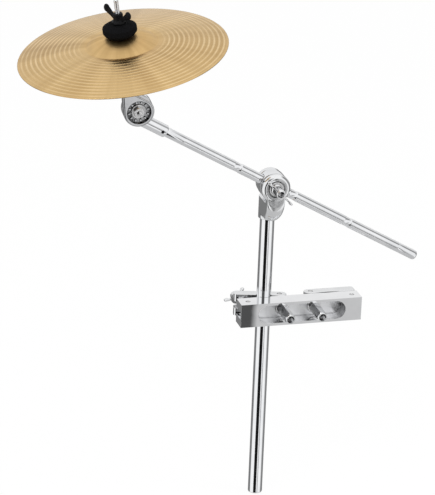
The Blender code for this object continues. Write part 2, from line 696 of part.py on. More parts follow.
def eye_stud(side):
    """Hinge pin, and the eye on it with a shank through the bar's pocket floor."""
    pin_frame = Matrix.Translation(hinge_pin_centre(side) * MM)
    cylinder(f"{side.tag}_hinge_pin", PIN_R, -JAW_HALF_H + 0.3, JAW_HALF_H - 0.3,
             pin_frame, STEEL, segments=20)
    stud = cylinder(f"{side.tag}_eye_stud", CLAMP_EYE_R, -4.1, 4.1, pin_frame, STEEL,
                    segments=28)
    join(stud, cylinder(f"{side.tag}_stud_shank", BOLT_R,
                        -hinge_pin_centre(side).y + SHANK_START, 40.0,
                        facing_front(side.stud_x, BAR_Z), segments=20))
    bore(stud, f"{side.tag}_stud_eye_cut", PIN_HOLE_R, -8, 8, pin_frame)


def sleeve_nut(side):
    """Long hexagonal nut standing in the pocket, its ends rounded, and its washer."""
    frame = facing_front(side.stud_x, BAR_Z)
    washer(f"{side.tag}_stud_washer", 8.8, BOLT_WASHER_BORE, -POCKET_FLOOR + 0.3,
           -POCKET_FLOOR + 1.8, frame)
    start = -POCKET_FLOOR + 2.1
    end = SLEEVE_FRONT
    sleeve = cylinder(f"{side.tag}_sleeve_nut", 7.1, start, end, frame, CHROME,
                      segments=6, turn=side.sleeve_turn)
    form = turned(f"{side.tag}_sleeve_form", [
        (0.0, end + 0.1), (5.0, end + 0.1), (6.2, end - 0.9), (7.2, end - 3.4),
        (7.2, start + 1.0), (6.4, start - 0.1), (0.0, start - 0.1)],
        frame, segments=28)
    combine(sleeve, form, "INTERSECT")
    bore(sleeve, f"{side.tag}_sleeve_bore", BOLT_WASHER_BORE, 0, 60, frame)


def swing_bolt(side):
    """Eye on a pin in the bar's end, shank back through the jaw to a wing nut."""
    eye_frame = swing_frame(side)
    shank_frame = place((0, 1, 0), RIGHT, (side.swing_x, 0, BAR_Z))
    swing = cylinder(f"{side.tag}_swing_bolt", CLAMP_EYE_R, -4.7, 4.7, eye_frame, STEEL,
                     segments=28)
    join(swing, cylinder(f"{side.tag}_swing_shank", BOLT_R, SWING_Y + SHANK_START,
                         side.nut_y + BOLT_BEYOND_NUT, shank_frame, segments=20))
    bore(swing, f"{side.tag}_swing_eye_cut", PIN_HOLE_R, -8, 8, eye_frame)
    cylinder(f"{side.tag}_swing_pin", PIN_R, -BAR_HALF_H + 0.35, BAR_HALF_H - 0.35,
             eye_frame, STEEL, segments=20)
    washer(f"{side.tag}_jaw_washer", 8.0, BOLT_WASHER_BORE, side.nut_y - 1.9,
           side.nut_y - 0.3, shank_frame)
    wing_nut(f"{side.tag}_jaw_wing_nut", shank_frame @ shift(0, 0, side.nut_y), CHROME,
             hub=6.0, length=10.8, hole=BOLT_NUT_BORE, span=15.8, rise=4.0,
             turn=side.wing_turn)


# ------------------------------------------------------------------ build
down_tube()
tube_end_plug()
tilter_base()
rod_drum()
drum_cap()
eye_bolt()
boom_nut()
boom_rod()
tilter_socket()
socket_set_screw()
tilter_head()
tilter_bolt()
cymbal_post()
cymbal_seat()
cymbal()
cymbal_top()
clamp_bar()
for clamp_side in SIDES:
    clamp_jaw(clamp_side)
    eye_stud(clamp_side)
    sleeve_nut(clamp_side)
    swing_bolt(clamp_side)
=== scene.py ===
"""Looks for a cymbal boom stand: fine meshes, finishes, studio and camera.

The down tube stands on the origin along +Z. The front is -Y, and the boom rod runs in
the XZ plane up to the left (-X), where the cymbal sits on its post. A clamp bar lies
along X in front of the tube, with a jaw behind it at each end.

Lengths are millimetres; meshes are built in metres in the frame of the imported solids,
and each rides on the body of the solid it stands for. Profiles are (radius, height).
"""

import json
import math
from types import SimpleNamespace

import bmesh
import bpy
from mathutils import Matrix, Vector, noise


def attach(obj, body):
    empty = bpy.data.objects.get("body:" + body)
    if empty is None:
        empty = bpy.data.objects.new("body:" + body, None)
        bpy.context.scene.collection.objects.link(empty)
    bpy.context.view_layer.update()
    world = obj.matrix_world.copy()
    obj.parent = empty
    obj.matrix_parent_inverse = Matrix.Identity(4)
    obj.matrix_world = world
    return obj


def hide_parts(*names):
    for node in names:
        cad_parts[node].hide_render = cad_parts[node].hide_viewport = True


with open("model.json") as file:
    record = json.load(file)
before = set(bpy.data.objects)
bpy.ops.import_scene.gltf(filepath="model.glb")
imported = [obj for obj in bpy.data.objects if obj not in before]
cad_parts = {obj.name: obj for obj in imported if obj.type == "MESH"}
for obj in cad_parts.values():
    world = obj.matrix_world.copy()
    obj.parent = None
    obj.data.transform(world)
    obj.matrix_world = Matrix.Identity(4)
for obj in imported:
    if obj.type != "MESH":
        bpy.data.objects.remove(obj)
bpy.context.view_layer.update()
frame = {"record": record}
NODE_BODY = {n: b for b, ns in frame["record"]["behaviour"]["bodies"].items() for n in ns}
MM = 0.001
scene = bpy.context.scene

# ------------------------------------------------------------------ frames
ROD_ANGLE = math.radians(29.0)
ROD_Y = -17.4
HINGE_Z = 444.7
TWIST_ANGLE = math.radians(6.2)     # the tilter's roll about the rod
POST_TILT = math.radians(9.79)
CYMBAL_SEAT = Vector((-205.3, ROD_Y, 635.2))
ROD_AXIS = Vector((math.cos(ROD_ANGLE), 0.0, -math.sin(ROD_ANGLE)))
ROD_NORMAL = Vector((math.sin(ROD_ANGLE), 0.0, math.cos(ROD_ANGLE)))
HINGE = Vector((0.0, ROD_Y, HINGE_Z))
FRONT = Vector((0.0, -1.0, 0.0))
TILTER = HINGE + ROD_AXIS * -216.6 + ROD_NORMAL * 11.2
SET_SCREW = HINGE + ROD_AXIS * -172.0
POST_AXIS = Vector((-math.sin(POST_TILT), 0.0, math.cos(POST_TILT)))


def place(z_axis, x_axis, origin):
    """A frame from its Z axis, a rough X axis and an origin in mm."""
    z = Vector(z_axis).normalized()
    x = Vector(x_axis)
    x = (x - z * x.dot(z)).normalized()
    matrix = Matrix((x, z.cross(x), z)).transposed().to_4x4()
    matrix.translation = Vector(origin) * MM
    return matrix


def shift(x, y, z):
    return Matrix.Translation((x * MM, y * MM, z * MM))


UPRIGHT = Matrix.Rotation(math.pi / 2, 4, "X")      # stands a prism's outline up in XZ
TWIST = (Matrix.Translation(HINGE * MM) @ Matrix.Rotation(TWIST_ANGLE, 4, ROD_AXIS)
         @ Matrix.Translation(-HINGE * MM))
AT_TUBE = place((0, 0, 1), (1, 0, 0), (0, 0, 0))
AT_HINGE = place(FRONT, (1, 0, 0), (0, 0, HINGE_Z))
AT_ROD = place(ROD_AXIS, FRONT, HINGE)
AT_COLLAR = TWIST @ AT_ROD
AT_TILTER = TWIST @ place(FRONT, (1, 0, 0), (TILTER.x, 0, TILTER.z))
AT_SCREW = TWIST @ place(FRONT, ROD_AXIS, SET_SCREW)
AT_POST = TWIST @ place(POST_AXIS, (1, 0, 0), CYMBAL_SEAT)


# ------------------------------------------------------------------ mesh tools
def link(mesh, matrix, name="part"):
    ob = bpy.data.objects.new(name, mesh)
    scene.collection.objects.link(ob)
    ob.matrix_world = matrix
    return ob


def link_bmesh(bm, matrix, name="part"):
    mesh = bpy.data.meshes.new(name)
    bm.to_mesh(mesh)
    bm.free()
    return link(mesh, matrix, name)


def smooth(ob, angle):
    """Smooth shading, broken at edges sharper than angle in degrees."""
    ob.data.shade_smooth()
    ob.data.set_sharp_from_angle(angle=math.radians(angle))
    return ob


def lathe(profile, matrix, segments=96, closed=False, displace=None):
    """A profile, outer side top to bottom, turned about local Z."""
    verts, faces, rows = [], [], []
    for radius, z in profile:
        if radius < 1e-6:
            rows.append([len(verts)])
            verts.append((0.0, 0.0, z * MM))
            continue
        row = []
        for k in range(segments):
            angle = 2 * math.pi * k / segments
            reach = (radius + (displace(radius, z, angle) if displace else 0.0)) * MM
            row.append(len(verts))
            verts.append((reach * math.cos(angle), reach * math.sin(angle), z * MM))
        rows.append(row)
    pairs = list(zip(rows, rows[1:])) + ([(rows[-1], rows[0])] if closed else [])
    for upper, lower in pairs:
        for k in range(segments):
            j = (k + 1) % segments
            if len(upper) == 1:
                faces.append((upper[0], lower[k], lower[j]))
            elif len(lower) == 1:
                faces.append((upper[k], lower[0], upper[j]))
            else:
                faces.append((upper[k], lower[k], lower[j], upper[j]))
    mesh = bpy.data.meshes.new("part")
    mesh.from_pydata(verts, [], faces)
    bm = bmesh.new()
    bm.from_mesh(mesh)
    bmesh.ops.recalc_face_normals(bm, faces=bm.faces[:])
    bm.to_mesh(mesh)
    bm.free()
    return smooth(link(mesh, matrix), 50)


def rounded(profile, radius=0.5, steps=3, closed=False):
    """Rounds the corners of a profile, each by a curve of that reach."""
    out = []
    count = len(profile)
    for i, point in enumerate(profile):
        if not closed and (i == 0 or i == count - 1):
            out.append(point)
            continue
        corner = Vector(point)
        before = Vector(profile[i - 1]) - corner
        after = Vector(profile[(i + 1) % count]) - corner
        if (before.length < 1e-6 or after.length < 1e-6
                or before.angle(after) > math.radians(172)):
            out.append(point)
            continue
        reach = min(radius, before.length * 0.45, after.length * 0.45)
        start = corner + before.normalized() * reach
        end = corner + after.normalized() * reach
        for k in range(steps + 1):
            t = k / steps
            q = start * (1 - t) ** 2 + corner * 2 * t * (1 - t) + end * t ** 2
            out.append((q.x, q.y))
    return out


def cylinder(radius, low, high, matrix, segments=64, turn=0.0):
    bm = bmesh.new()
    bmesh.ops.create_cone(bm, cap_ends=True, segments=segments, radius1=radius * MM,
                          radius2=radius * MM, depth=(high - low) * MM,
                          matrix=Matrix.Translation((0, 0, (low + high) / 2 * MM))
                          @ Matrix.Rotation(turn, 4, "Z"))
    return smooth(link_bmesh(bm, matrix), 40)


def block(low, high, matrix):
    bm = bmesh.new()
    size = [(b - a) * MM for a, b in zip(low, high)]
    middle = [(a + b) / 2 * MM for a, b in zip(low, high)]
    bmesh.ops.create_cube(bm, size=1.0, matrix=Matrix.Translation(middle)
                          @ Matrix.Diagonal((*size, 1.0)))
    return link_bmesh(bm, matrix)


def loft(sections, matrix):
    """A closed body drawn through matching rings of (x, y, z) points."""
    bm = bmesh.new()
    rows = [[bm.verts.new([c * MM for c in point]) for point in ring] for ring in sections]
    count = len(rows[0])
    for first, second in zip(rows, rows[1:]):
        for k in range(count):
            j = (k + 1) % count
            bm.faces.new((first[k], first[j], second[j], second[k]))
    bm.faces.new(list(reversed(rows[0])))
    bm.faces.new(rows[-1])
    bmesh.ops.recalc_face_normals(bm, faces=bm.faces[:])
    return link_bmesh(bm, matrix)


def prism(outline, low, high, matrix):
    """A closed outline of (x, y) carried from z = low to z = high."""
    return loft([[(x, y, z) for x, y in outline] for z in (low, high)], matrix)


def arc(centre_x, centre_y, radius, start, end, steps):
    """Points on an arc, its angles in degrees."""
    angles = [math.radians(start + (end - start) * i / steps) for i in range(steps + 1)]
    return [(centre_x + radius * math.cos(a), centre_y + radius * math.sin(a))
            for a in angles]


def bake_modifiers(ob):
    depsgraph = bpy.context.evaluated_depsgraph_get()
    depsgraph.update()
    mesh = bpy.data.meshes.new_from_object(ob.evaluated_get(depsgraph))
    ob.modifiers.clear()
    old = ob.data
    ob.data = mesh
    bpy.data.meshes.remove(old)


def combine(ob, other, operation="DIFFERENCE"):
    """A boolean with another body, which is used up."""
    bpy.context.view_layer.update()
    boolean = ob.modifiers.new("boolean", "BOOLEAN")
    boolean.operation = operation
    boolean.solver = "EXACT"
    boolean.object = other
    bake_modifiers(ob)
    bpy.data.objects.remove(other, do_unlink=True)


def soften_edges(ob, width, segments=2, angle=38.0):
    """Rounds the sharp edges, as plating and tumbling leave them."""
    bevel = ob.modifiers.new("bevel", "BEVEL")
    bevel.width = width * MM
    bevel.segments = segments
    bevel.limit_method = "ANGLE"
    bevel.angle_limit = math.radians(angle)
    bevel.use_clamp_overlap = True
    bake_modifiers(ob)
    smooth(ob, 44)
    weighted = ob.modifiers.new("w", "WEIGHTED_NORMAL")
    weighted.keep_sharp = True
    weighted.weight = 80
    return ob


def fuse(ob, voxel, iterations):
    """Melts joined bodies into one cast form with filleted corners."""
    remesh = ob.modifiers.new("remesh", "REMESH")
    remesh.mode = "VOXEL"
    remesh.voxel_size = voxel * MM
    remesh.use_smooth_shade = True
    relax = ob.modifiers.new("relax", "SMOOTH")
    relax.factor = 0.5
    relax.iterations = iterations
    bake_modifiers(ob)
    ob.data.shade_smooth()


def join(ob, *others):
    """Puts several closed bodies into one mesh, in ob's own frame."""
    bpy.context.view_layer.update()
    bm = bmesh.new()
    bm.from_mesh(ob.data)
    inverse = ob.matrix_world.inverted()
    for other in others:
        part = other.data.copy()
        part.transform(inverse @ other.matrix_world)
        bm.from_mesh(part)
        bpy.data.meshes.remove(part)
        bpy.data.objects.remove(other, do_unlink=True)
    bm.to_mesh(ob.data)
    bm.free()


def thread(pitch, depth, low, high):
    """Radius change of a screw thread between two heights."""
    def displace(radius, z, angle):
        if z < low or z > high:
            return 0.0
        t = (z / pitch - angle / (2 * math.pi)) % 1.0
        fade = min(1.0, (z - low) / pitch, (high - z) / pitch)
        return -depth * fade * (1.0 - abs(2.0 * t - 1.0)) ** 0.8
    return displace


def rings(radius, start, end, step):
    """Profile points of a straight wall, one about every step."""
    count = max(1, int(abs(end - start) / step))
    return [(radius, start + (end - start) * i / count) for i in range(count + 1)]


# ------------------------------------------------------------------ shader tools
def feed(tree, target, inputs):
    """Sets or links a node's inputs, given as {socket: value or output socket}."""
    for key, value in inputs.items():
        if isinstance(value, bpy.types.NodeSocket):
            tree.links.new(value, target.inputs[key])
        else:
            target.inputs[key].default_value = value


def node(tree, kind, inputs=None, **settings):
    new = tree.nodes.new("ShaderNode" + kind)
    for name, value in settings.items():
        setattr(new, name, value)
    feed(tree, new, inputs or {})
    return new


def math_node(tree, operation, *operands):
    return node(tree, "Math", dict(enumerate(operands)), operation=operation).outputs[0]


def tex_noise(tree, coord, scale, detail=3.0, rough=0.5, stretch=None):
    if stretch:
        mapping = node(tree, "Mapping", {"Scale": stretch, "Vector": coord})
        coord = mapping.outputs["Vector"]
    return node(tree, "TexNoise", {"Scale": scale, "Detail": detail, "Roughness": rough,
                                   "Vector": coord}).outputs["Fac"]


def remap(tree, value, low, high, start=0.35, end=0.65, **settings):
    """Carries value from the span start..end to the span low..high."""
    return node(tree, "MapRange", {"From Min": start, "From Max": end, "To Min": low,
                                   "To Max": high, "Value": value},
                **settings).outputs["Result"]


def bump(tree, height, strength, distance, normal=None):
    inputs = {"Strength": strength, "Distance": distance, "Height": height}
    if normal is not None:
        inputs["Normal"] = normal
    return node(tree, "Bump", inputs).outputs["Normal"]


def mix_colour(tree, factor, first, second, **settings):
    """Blends two colours, each an (r, g, b) tuple or an output socket."""
    first, second = [(*c, 1.0) if isinstance(c, tuple) else c for c in (first, second)]
    return node(tree, "Mix", {"Factor": factor, "A": first, "B": second},
                data_type="RGBA", **settings).outputs["Result"]


def multiply(tree, first, second, factor=1.0):
    return mix_colour(tree, factor, first, second, blend_type="MULTIPLY")


def new_material(name):
    """A material with its tree, its shader and its object coordinates."""
    material = bpy.data.materials.new(name)
    material.use_nodes = True
    tree = material.node_tree
    coord = node(tree, "TexCoord").outputs["Object"]
    return material, tree, tree.nodes["Principled BSDF"], coord


# ------------------------------------------------------------------ materials
def metal(name, light, dark, roughness, wave=0.0, wave_scale=60.0, scratch=0.0,
          stretch=(1, 1, 12), grain=0.0, crevice_shade_reach=0.0, crevice_shade_tone=0.10):
    """Plated or brushed metal, tarnished between a light and a dark tone.

    roughness is the span of the smudges; wave, scratch and grain are bump strengths;
    the last two set the reach in metres of the shade painted into corners, and its darkest
    tone.
    """
    material, tree, shader, coord = new_material(name)
    tarnish = tex_noise(tree, coord, 45.0, detail=4.0, rough=0.6)
    shade = mix_colour(tree, remap(tree, tarnish, 0.0, 1.0), light, dark)
    if crevice_shade_reach:
        # painted shade: ambient occlusion darkens the colour in joints, recesses and
        # grooves, where shade falls
        hollow = node(tree, "AmbientOcclusion", {"Distance": crevice_shade_reach}, samples=8)
        openness = remap(tree, hollow.outputs["AO"], 0.0, 1.0, start=0.35, end=0.86)
        shade = multiply(tree, shade, mix_colour(tree, openness, (crevice_shade_tone,) * 3, (1.0,) * 3))
    smudge = tex_noise(tree, coord, 140.0, detail=5.0, rough=0.65)
    feed(tree, shader, {"Metallic": 1.0, "Base Color": shade,
                        "Roughness": remap(tree, smudge, *roughness)})
    normal = None
    if wave:
        ripple = tex_noise(tree, coord, wave_scale, detail=1.5, rough=0.4)
        normal = bump(tree, ripple, wave, distance=0.0012)
    if scratch:
        lines = tex_noise(tree, coord, 900.0, detail=2.0, rough=0.6, stretch=stretch)
        normal = bump(tree, lines, scratch, distance=0.0002, normal=normal)
    if grain:
        grit = tex_noise(tree, coord, 2600.0, detail=2.0, rough=0.7)
        normal = bump(tree, grit, grain, distance=0.0002, normal=normal)
    if normal is not None:
        feed(tree, shader, {"Normal": normal})
    return material


def dull_pocket(material):
    """The milled pocket in the bar's front was never polished like its outside."""
    tree = material.node_tree
    shader = next(n for n in tree.nodes if n.type == "BSDF_PRINCIPLED")
    coord = node(tree, "TexCoord").outputs["Object"]
    x, y, z = node(tree, "SeparateXYZ", {0: coord}).outputs

    def between(value, low, high):
        """One inside two soft bounds in metres, each (where 0, where 1)."""
        return math_node(tree, "MULTIPLY", remap(tree, value, 0.0, 1.0, *low),
                         remap(tree, value, 0.0, 1.0, *high))

    inside = math_node(
        tree, "MULTIPLY", between(y, (-0.0294, -0.0290), (-0.0085, -0.0090)),
        math_node(tree, "MULTIPLY", between(z, (-0.0126, -0.0125), (0.0126, 0.0125)),
                  between(x, (-0.0154, -0.0153), (0.1045, 0.1044))))
    deep = remap(tree, y, 0.0, 1.0, start=-0.0114, end=-0.0111)
    floor_mask = math_node(tree, "MULTIPLY", inside, deep)
    # its walls are cleaner than its floor
    for mask, rough in ((inside, 0.13), (floor_mask, 0.40)):
        old = shader.inputs["Roughness"].links[0].from_socket
        mixed = node(tree, "Mix", {"Factor": mask, "A": old, "B": rough})
        feed(tree, shader, {"Roughness": mixed.outputs["Result"]})


def black_plastic():
    material, tree, shader, coord = new_material("black_plastic_look")
    mottle = tex_noise(tree, coord, 160.0, detail=4.0, rough=0.6)
    smudge = tex_noise(tree, coord, 420.0, detail=3.0, rough=0.6)
    grain = tex_noise(tree, coord, 2400.0, detail=3.0, rough=0.7)
    feed(tree, shader, {
        "Base Color": mix_colour(tree, remap(tree, mottle, 0, 1),
                                 (0.003, 0.003, 0.0033), (0.009, 0.009, 0.0095)),
        "Roughness": remap(tree, smudge, 0.24, 0.48),
        "Specular IOR Level": 0.09,
        "Normal": bump(tree, grain, strength=0.22, distance=0.0003)})
    return material


def black_felt():
    material, tree, shader, coord = new_material("black_felt_look")
    fibre = tex_noise(tree, coord, 900.0, detail=6.0, rough=0.75, stretch=(1, 1, 2.2))
    tuft = tex_noise(tree, coord, 240.0, detail=4.0, rough=0.6)
    tufts = bump(tree, tuft, strength=0.4, distance=0.001)
    feed(tree, shader, {
        "Base Color": mix_colour(tree, remap(tree, fibre, 0, 1),
                                 (0.0015, 0.0015, 0.0018), (0.010, 0.010, 0.011)),
        "Roughness": 0.95,
        "Sheen Weight": 0.0,
        "Sheen Roughness": 0.6,
        "Specular IOR Level": 0.06,
        "Normal": bump(tree, fibre, strength=0.6, distance=0.0006, normal=tufts)})
    return material


# the cymbal's turned rings: their inner and outer radius, and their spacing
RING_LOW = 50.5
RING_HIGH = 130.4
RING_PITCH = (RING_HIGH - RING_LOW) / 13


def brass():
    """Lathed brass: turning lines round the axis, radial brushing, warm patches, painted
    highlights.
    """
    material, tree, shader, coord = new_material("cymbal_brass_look")
    axes = node(tree, "SeparateXYZ", {0: coord}).outputs
    flat = node(tree, "CombineXYZ", {0: axes[0], 1: axes[1]}).outputs[0]
    radius = node(tree, "VectorMath", {0: flat}, operation="LENGTH").outputs["Value"]
    along = node(tree, "CombineXYZ", {0: radius}).outputs[0]
    turning = tex_noise(tree, along, 1500.0, detail=5.0, rough=0.7)
    broad = tex_noise(tree, along, 190.0, detail=2.0, rough=0.5)
    warm = tex_noise(tree, coord, 9.0, detail=3.0, rough=0.55)
    base = mix_colour(tree, remap(tree, warm, 0, 1), (0.80, 0.565, 0.270),
                      (0.74, 0.50, 0.225))
    lines = mix_colour(tree, remap(tree, turning, 0, 1, start=0.3, end=0.7),
                       (0.86, 0.84, 0.80), (1.0, 1.0, 1.0))
    tint = multiply(tree, base, lines, factor=0.8)
    # painted reflection: streaks of light and shade that fan out from the post, painted
    # into the colour
    unit = node(tree, "VectorMath", {0: flat}, operation="NORMALIZE").outputs[0]
    fan_reflection = tex_noise(tree, unit, 2.6, detail=4.0, rough=0.62)
    fan_reflection = mix_colour(tree, remap(tree, fan_reflection, 0, 1, start=0.34, end=0.66),
                     (0.84, 0.82, 0.785), (1.08, 1.10, 1.14))
    streak = multiply(tree, tint, fan_reflection)
    # painted highlight and shade: each raised ring is painted brighter than the hollow
    # beside it, which is painted darker
    turns = math_node(tree, "MULTIPLY",
                      math_node(tree, "SUBTRACT", radius, RING_LOW * MM),
                      1.0 / (RING_PITCH * MM))
    phase = math_node(tree, "FRACT", turns, 0.0)
    off = math_node(tree, "ABSOLUTE", math_node(tree, "SUBTRACT", phase, 0.5), 0.0)
    crest_highlight = remap(tree, off, 0.0, 1.0, start=0.30, end=0.04,
                  interpolation_type="SMOOTHSTEP")
    band = remap(tree, radius, 0.0, 1.0, start=(RING_LOW - 0.3) * MM,
                 end=(RING_LOW + 9.0) * MM)
    rim = remap(tree, radius, 0.0, 1.0, start=(RING_HIGH + 0.2) * MM,
                end=(RING_HIGH - 1.5) * MM)
    # the painted ring highlights come and go round the plate
    highlight_fade = remap(tree, tex_noise(tree, coord, 11.0, detail=3.0, rough=0.6), 0.16, 1.0,
                 start=0.36, end=0.60)
    amount = math_node(tree, "MULTIPLY", math_node(tree, "MULTIPLY", band, rim), highlight_fade)
    ring_highlights = mix_colour(tree, amount, (1.0, 1.0, 1.0),
                       mix_colour(tree, crest_highlight, (0.84, 0.81, 0.74), (1.20, 1.28, 1.50)))
    # the bell is rougher towards its middle
    bell = remap(tree, radius, 0.0, 0.30, start=58.0 * MM, end=32.0 * MM)
    tangent = node(tree, "Tangent", direction_type="RADIAL", axis="Z").outputs[0]
    feed(tree, shader, {
        "Base Color": multiply(tree, streak, ring_highlights),
        "Metallic": 1.0,
        "Roughness": math_node(tree, "ADD", remap(tree, broad, 0.20, 0.27), bell),
        "Anisotropic": 0.8,
        "Tangent": tangent,
        "Normal": bump(tree, turning, strength=0.05, distance=0.0003)})
    return material


TUBE_CHROME = metal("tube_chrome_look", light=(0.90, 0.91, 0.92), dark=(0.84, 0.85, 0.87),
                    roughness=(0.03, 0.075), wave=0.02, wave_scale=18.0, scratch=0.03,
                    stretch=(6, 6, 0.4))
BAR_CHROME = metal("cast_chrome_look", light=(0.93, 0.935, 0.945),
                   dark=(0.88, 0.885, 0.90), roughness=(0.002, 0.014), crevice_shade_reach=0.003,
                   crevice_shade_tone=0.55)
dull_pocket(BAR_CHROME)
JAW_CHROME = metal("jaw_chrome_look", light=(0.87, 0.875, 0.885), dark=(0.80, 0.81, 0.82),
                   roughness=(0.05, 0.13), wave=0.06, wave_scale=70.0, scratch=0.03,
                   crevice_shade_reach=0.003)
DRUM_CHROME = metal("drum_chrome_look", light=(0.90, 0.905, 0.92),
                    dark=(0.83, 0.84, 0.855), roughness=(0.035, 0.09), wave=0.05,
                    crevice_shade_reach=0.003)
BASE_CHROME = metal("base_chrome_look", light=(0.88, 0.885, 0.895),
                    dark=(0.79, 0.80, 0.81), roughness=(0.06, 0.15), wave=0.08,
                    wave_scale=75.0, crevice_shade_reach=0.0035)
SATIN = metal("satin_chrome_look", light=(0.55, 0.555, 0.565), dark=(0.42, 0.425, 0.435),
              roughness=(0.05, 0.13), wave=0.06, wave_scale=80.0, grain=0.03,
              crevice_shade_reach=0.008, crevice_shade_tone=0.03)
ROD_CHROME = metal("rod_chrome_look", light=(0.88, 0.885, 0.90), dark=(0.78, 0.79, 0.805),
                   roughness=(0.05, 0.13), scratch=0.03, stretch=(6, 6, 0.5))
NUT_CHROME = metal("nut_chrome_look", light=(0.88, 0.885, 0.895), dark=(0.78, 0.79, 0.80),
                   roughness=(0.035, 0.085), wave=0.08, wave_scale=110.0, crevice_shade_reach=0.002,
                   crevice_shade_tone=0.35)
BOOM_NUT_CHROME = metal("boom_nut_chrome_look", light=(0.93, 0.93, 0.94),
                        dark=(0.86, 0.865, 0.875), roughness=(0.17, 0.27), wave=0.05,
                        wave_scale=110.0)
STEEL = metal("bolt_steel_look", light=(0.72, 0.72, 0.72), dark=(0.52, 0.52, 0.53),
              roughness=(0.13, 0.30), scratch=0.10, stretch=(8, 8, 1), grain=0.05)
PLASTIC = black_plastic()
FELT = black_felt()
BRASS = brass()
DARK_STEEL = metal("blackened_steel_look", light=(0.055, 0.055, 0.058),
                   dark=(0.02, 0.02, 0.022), roughness=(0.3, 0.5), grain=0.1)


def dress(ob, solid, material):
    """ob stands for the solid of that name, on its body, with its material."""
    ob.name = solid + "_look"
    ob.data.name = ob.name
    ob.data.materials.clear()
    ob.data.materials.append(material)
    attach(ob, NODE_BODY[solid])
    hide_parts(solid)


# ------------------------------------------------------------------ shared fastenings
SHANK_RADIUS = 3.9      # the clamp's threaded shanks and the boom's
SHANK_HOLE = 4.3
PIN_HOLE = 3.2
POST_RADIUS = 3.0       # the post and the tilter's bolt
BOLT_HOLE = 3.4
ROD_BORE = 6.5
CAST_VOXEL = 0.42
WING_VOXEL = 0.3


def washer(outer, bore, low, high, matrix, segments=80):
    profile = rounded([(bore, high), (outer, high), (outer, low), (bore, low)],
                      radius=0.35, closed=True)
    return lathe(profile, matrix, segments, closed=True)


def threaded_shank(tip, chamfer, root, thread_low, matrix):
    shoulder = tip - chamfer
    profile = ([(0, tip), (3.4, tip), (SHANK_RADIUS, shoulder)]
               + rings(SHANK_RADIUS, shoulder, root, 0.35) + [(0, root)])
    return lathe(profile, matrix, 40, displace=thread(1.25, 0.45, thread_low, tip - 1.0))


def ring_blank(half, matrix):
    """The disc of a clamp bolt's eye, before its bore is cut."""
    edge = half - 0.4
    return lathe(rounded([(0, half), (6.4, half), (6.8, edge), (6.8, -edge),
                          (6.4, -half), (0, -half)], radius=0.3, steps=2), matrix, 64)


def eye_bolt(eye, shank, bore):
    combine(eye, shank, "UNION")
    combine(eye, bore)
    return smooth(eye, 40)


def wing_nut(matrix, hub, length, bore, span, rise, turn, tip, thick=2.6,
             base_radius=None, slant=0.0):
    """A cast wing nut: turned hub, two paddles swelling at their tips, all filleted.

    turn is in degrees; slant lifts one paddle and drops the other.
    """
    matrix = matrix @ Matrix.Rotation(math.radians(turn), 4, "Z")
    base_radius = hub + 1.2 if base_radius is None else base_radius
    ob = lathe(rounded([(0, length), (hub - 1.0, length), (hub, length - 1.6),
                        (hub, 4.0), (base_radius, 2.6), (base_radius, 0.0), (0, 0)],
                       radius=0.6), matrix, 72)
    height = length + rise
    # one paddle's outline as (x, z), from the hub's foot out and back over the top
    side = [(hub * 0.5, 3.4), (hub + 2.0, 4.0), (hub + 5.5, 6.4),
            (span * 0.74, height * 0.46), (span * 0.93, height * 0.62),
            (span, height * 0.78), (span * 0.985, height * 0.93), (span * 0.90, height),
            (span * 0.78, height * 0.97), (span * 0.64, height * 0.84),
            (hub + 4.0, length * 0.84), (hub + 1.2, length * 0.72),
            (hub * 0.5, length * 0.70)]
    crown, rim = thick * 0.72, thick * 0.25
    for sign in (1, -1):
        outline = [(sign * x, z + (slant * sign * x / span)) for x, z in side]
        plate = prism(outline, -thick / 2, thick / 2, matrix @ UPRIGHT)
        # the rounded bead round the tip of the wing
        bead = lathe(rounded([(0, crown), (tip * 0.62, crown), (tip, rim), (tip, -rim),
                              (tip * 0.62, -crown), (0, -crown)], radius=0.7),
                     matrix @ shift(sign * span * 0.86, 0,
                                    height * 0.80 + slant * sign * 0.86)
                     @ UPRIGHT @ Matrix.Diagonal((0.78, 1.0, 1.0, 1.0)), 32)
        join(ob, plate, bead)
    fuse(ob, WING_VOXEL, 7)
    flare = bore + 0.8
    combine(ob, lathe(rounded([(0, length + 6), (flare, length + 6),
                               (flare, length + 0.3), (bore, length - 0.8), (bore, 0.8),
                               (flare, -0.2), (flare, -4), (0, -4)],
                              radius=0.1, steps=1), matrix, 48))
    return smooth(ob, 50)


# ------------------------------------------------------------------ down tube
TUBE_RADIUS = 9.525
TUBE_TOP = 415.0
tube = rounded([(8.3, 415.5), (9.1, 415.5), (TUBE_RADIUS, TUBE_TOP)]
               + rings(TUBE_RADIUS, TUBE_TOP, 1.5, 12.0)
               + [(9.45, 0.8), (9.05, 0.0), (8.3, 0.0)], radius=0.25, closed=True)
dress(lathe(tube, AT_TUBE, 128, closed=True), "down_tube", TUBE_CHROME)

plug = rounded([(0, 14), (6.6, 14), (7.9, 12), (7.9, 0.35), (7.55, 0.0), (6.2, 0.0),
                (6.0, 0.5), (5.4, 0.5), (5.2, 0.0), (0, 0)], radius=0.25, steps=2)
dress(lathe(plug, AT_TUBE), "tube_end_plug", PLASTIC)

# ------------------------------------------------------------------ cast base
BASE_RADIUS = 12.1
LOBE_RADIUS = BASE_RADIUS - 0.05
LOBE_TIP_Y = -36.3


def underside(y):
    """Height of the lobe's curved underside, falling from its front to the socket."""
    t = min(1.0, (y + 36.5) / 24.5)
    return 421.0 - 26.8 * (1.0 - (1.0 - t) ** 2.0) ** 0.5


def lobe_ring(y, bottom, top, radius=LOBE_RADIUS):
    """A U-shaped section of the lobe, square to Y."""
    return ([(-radius, y, top)]
            + [(x, y, z) for x, z in arc(0, bottom + LOBE_RADIUS, radius, 180, 360, 40)]
            + [(radius, y, top)])


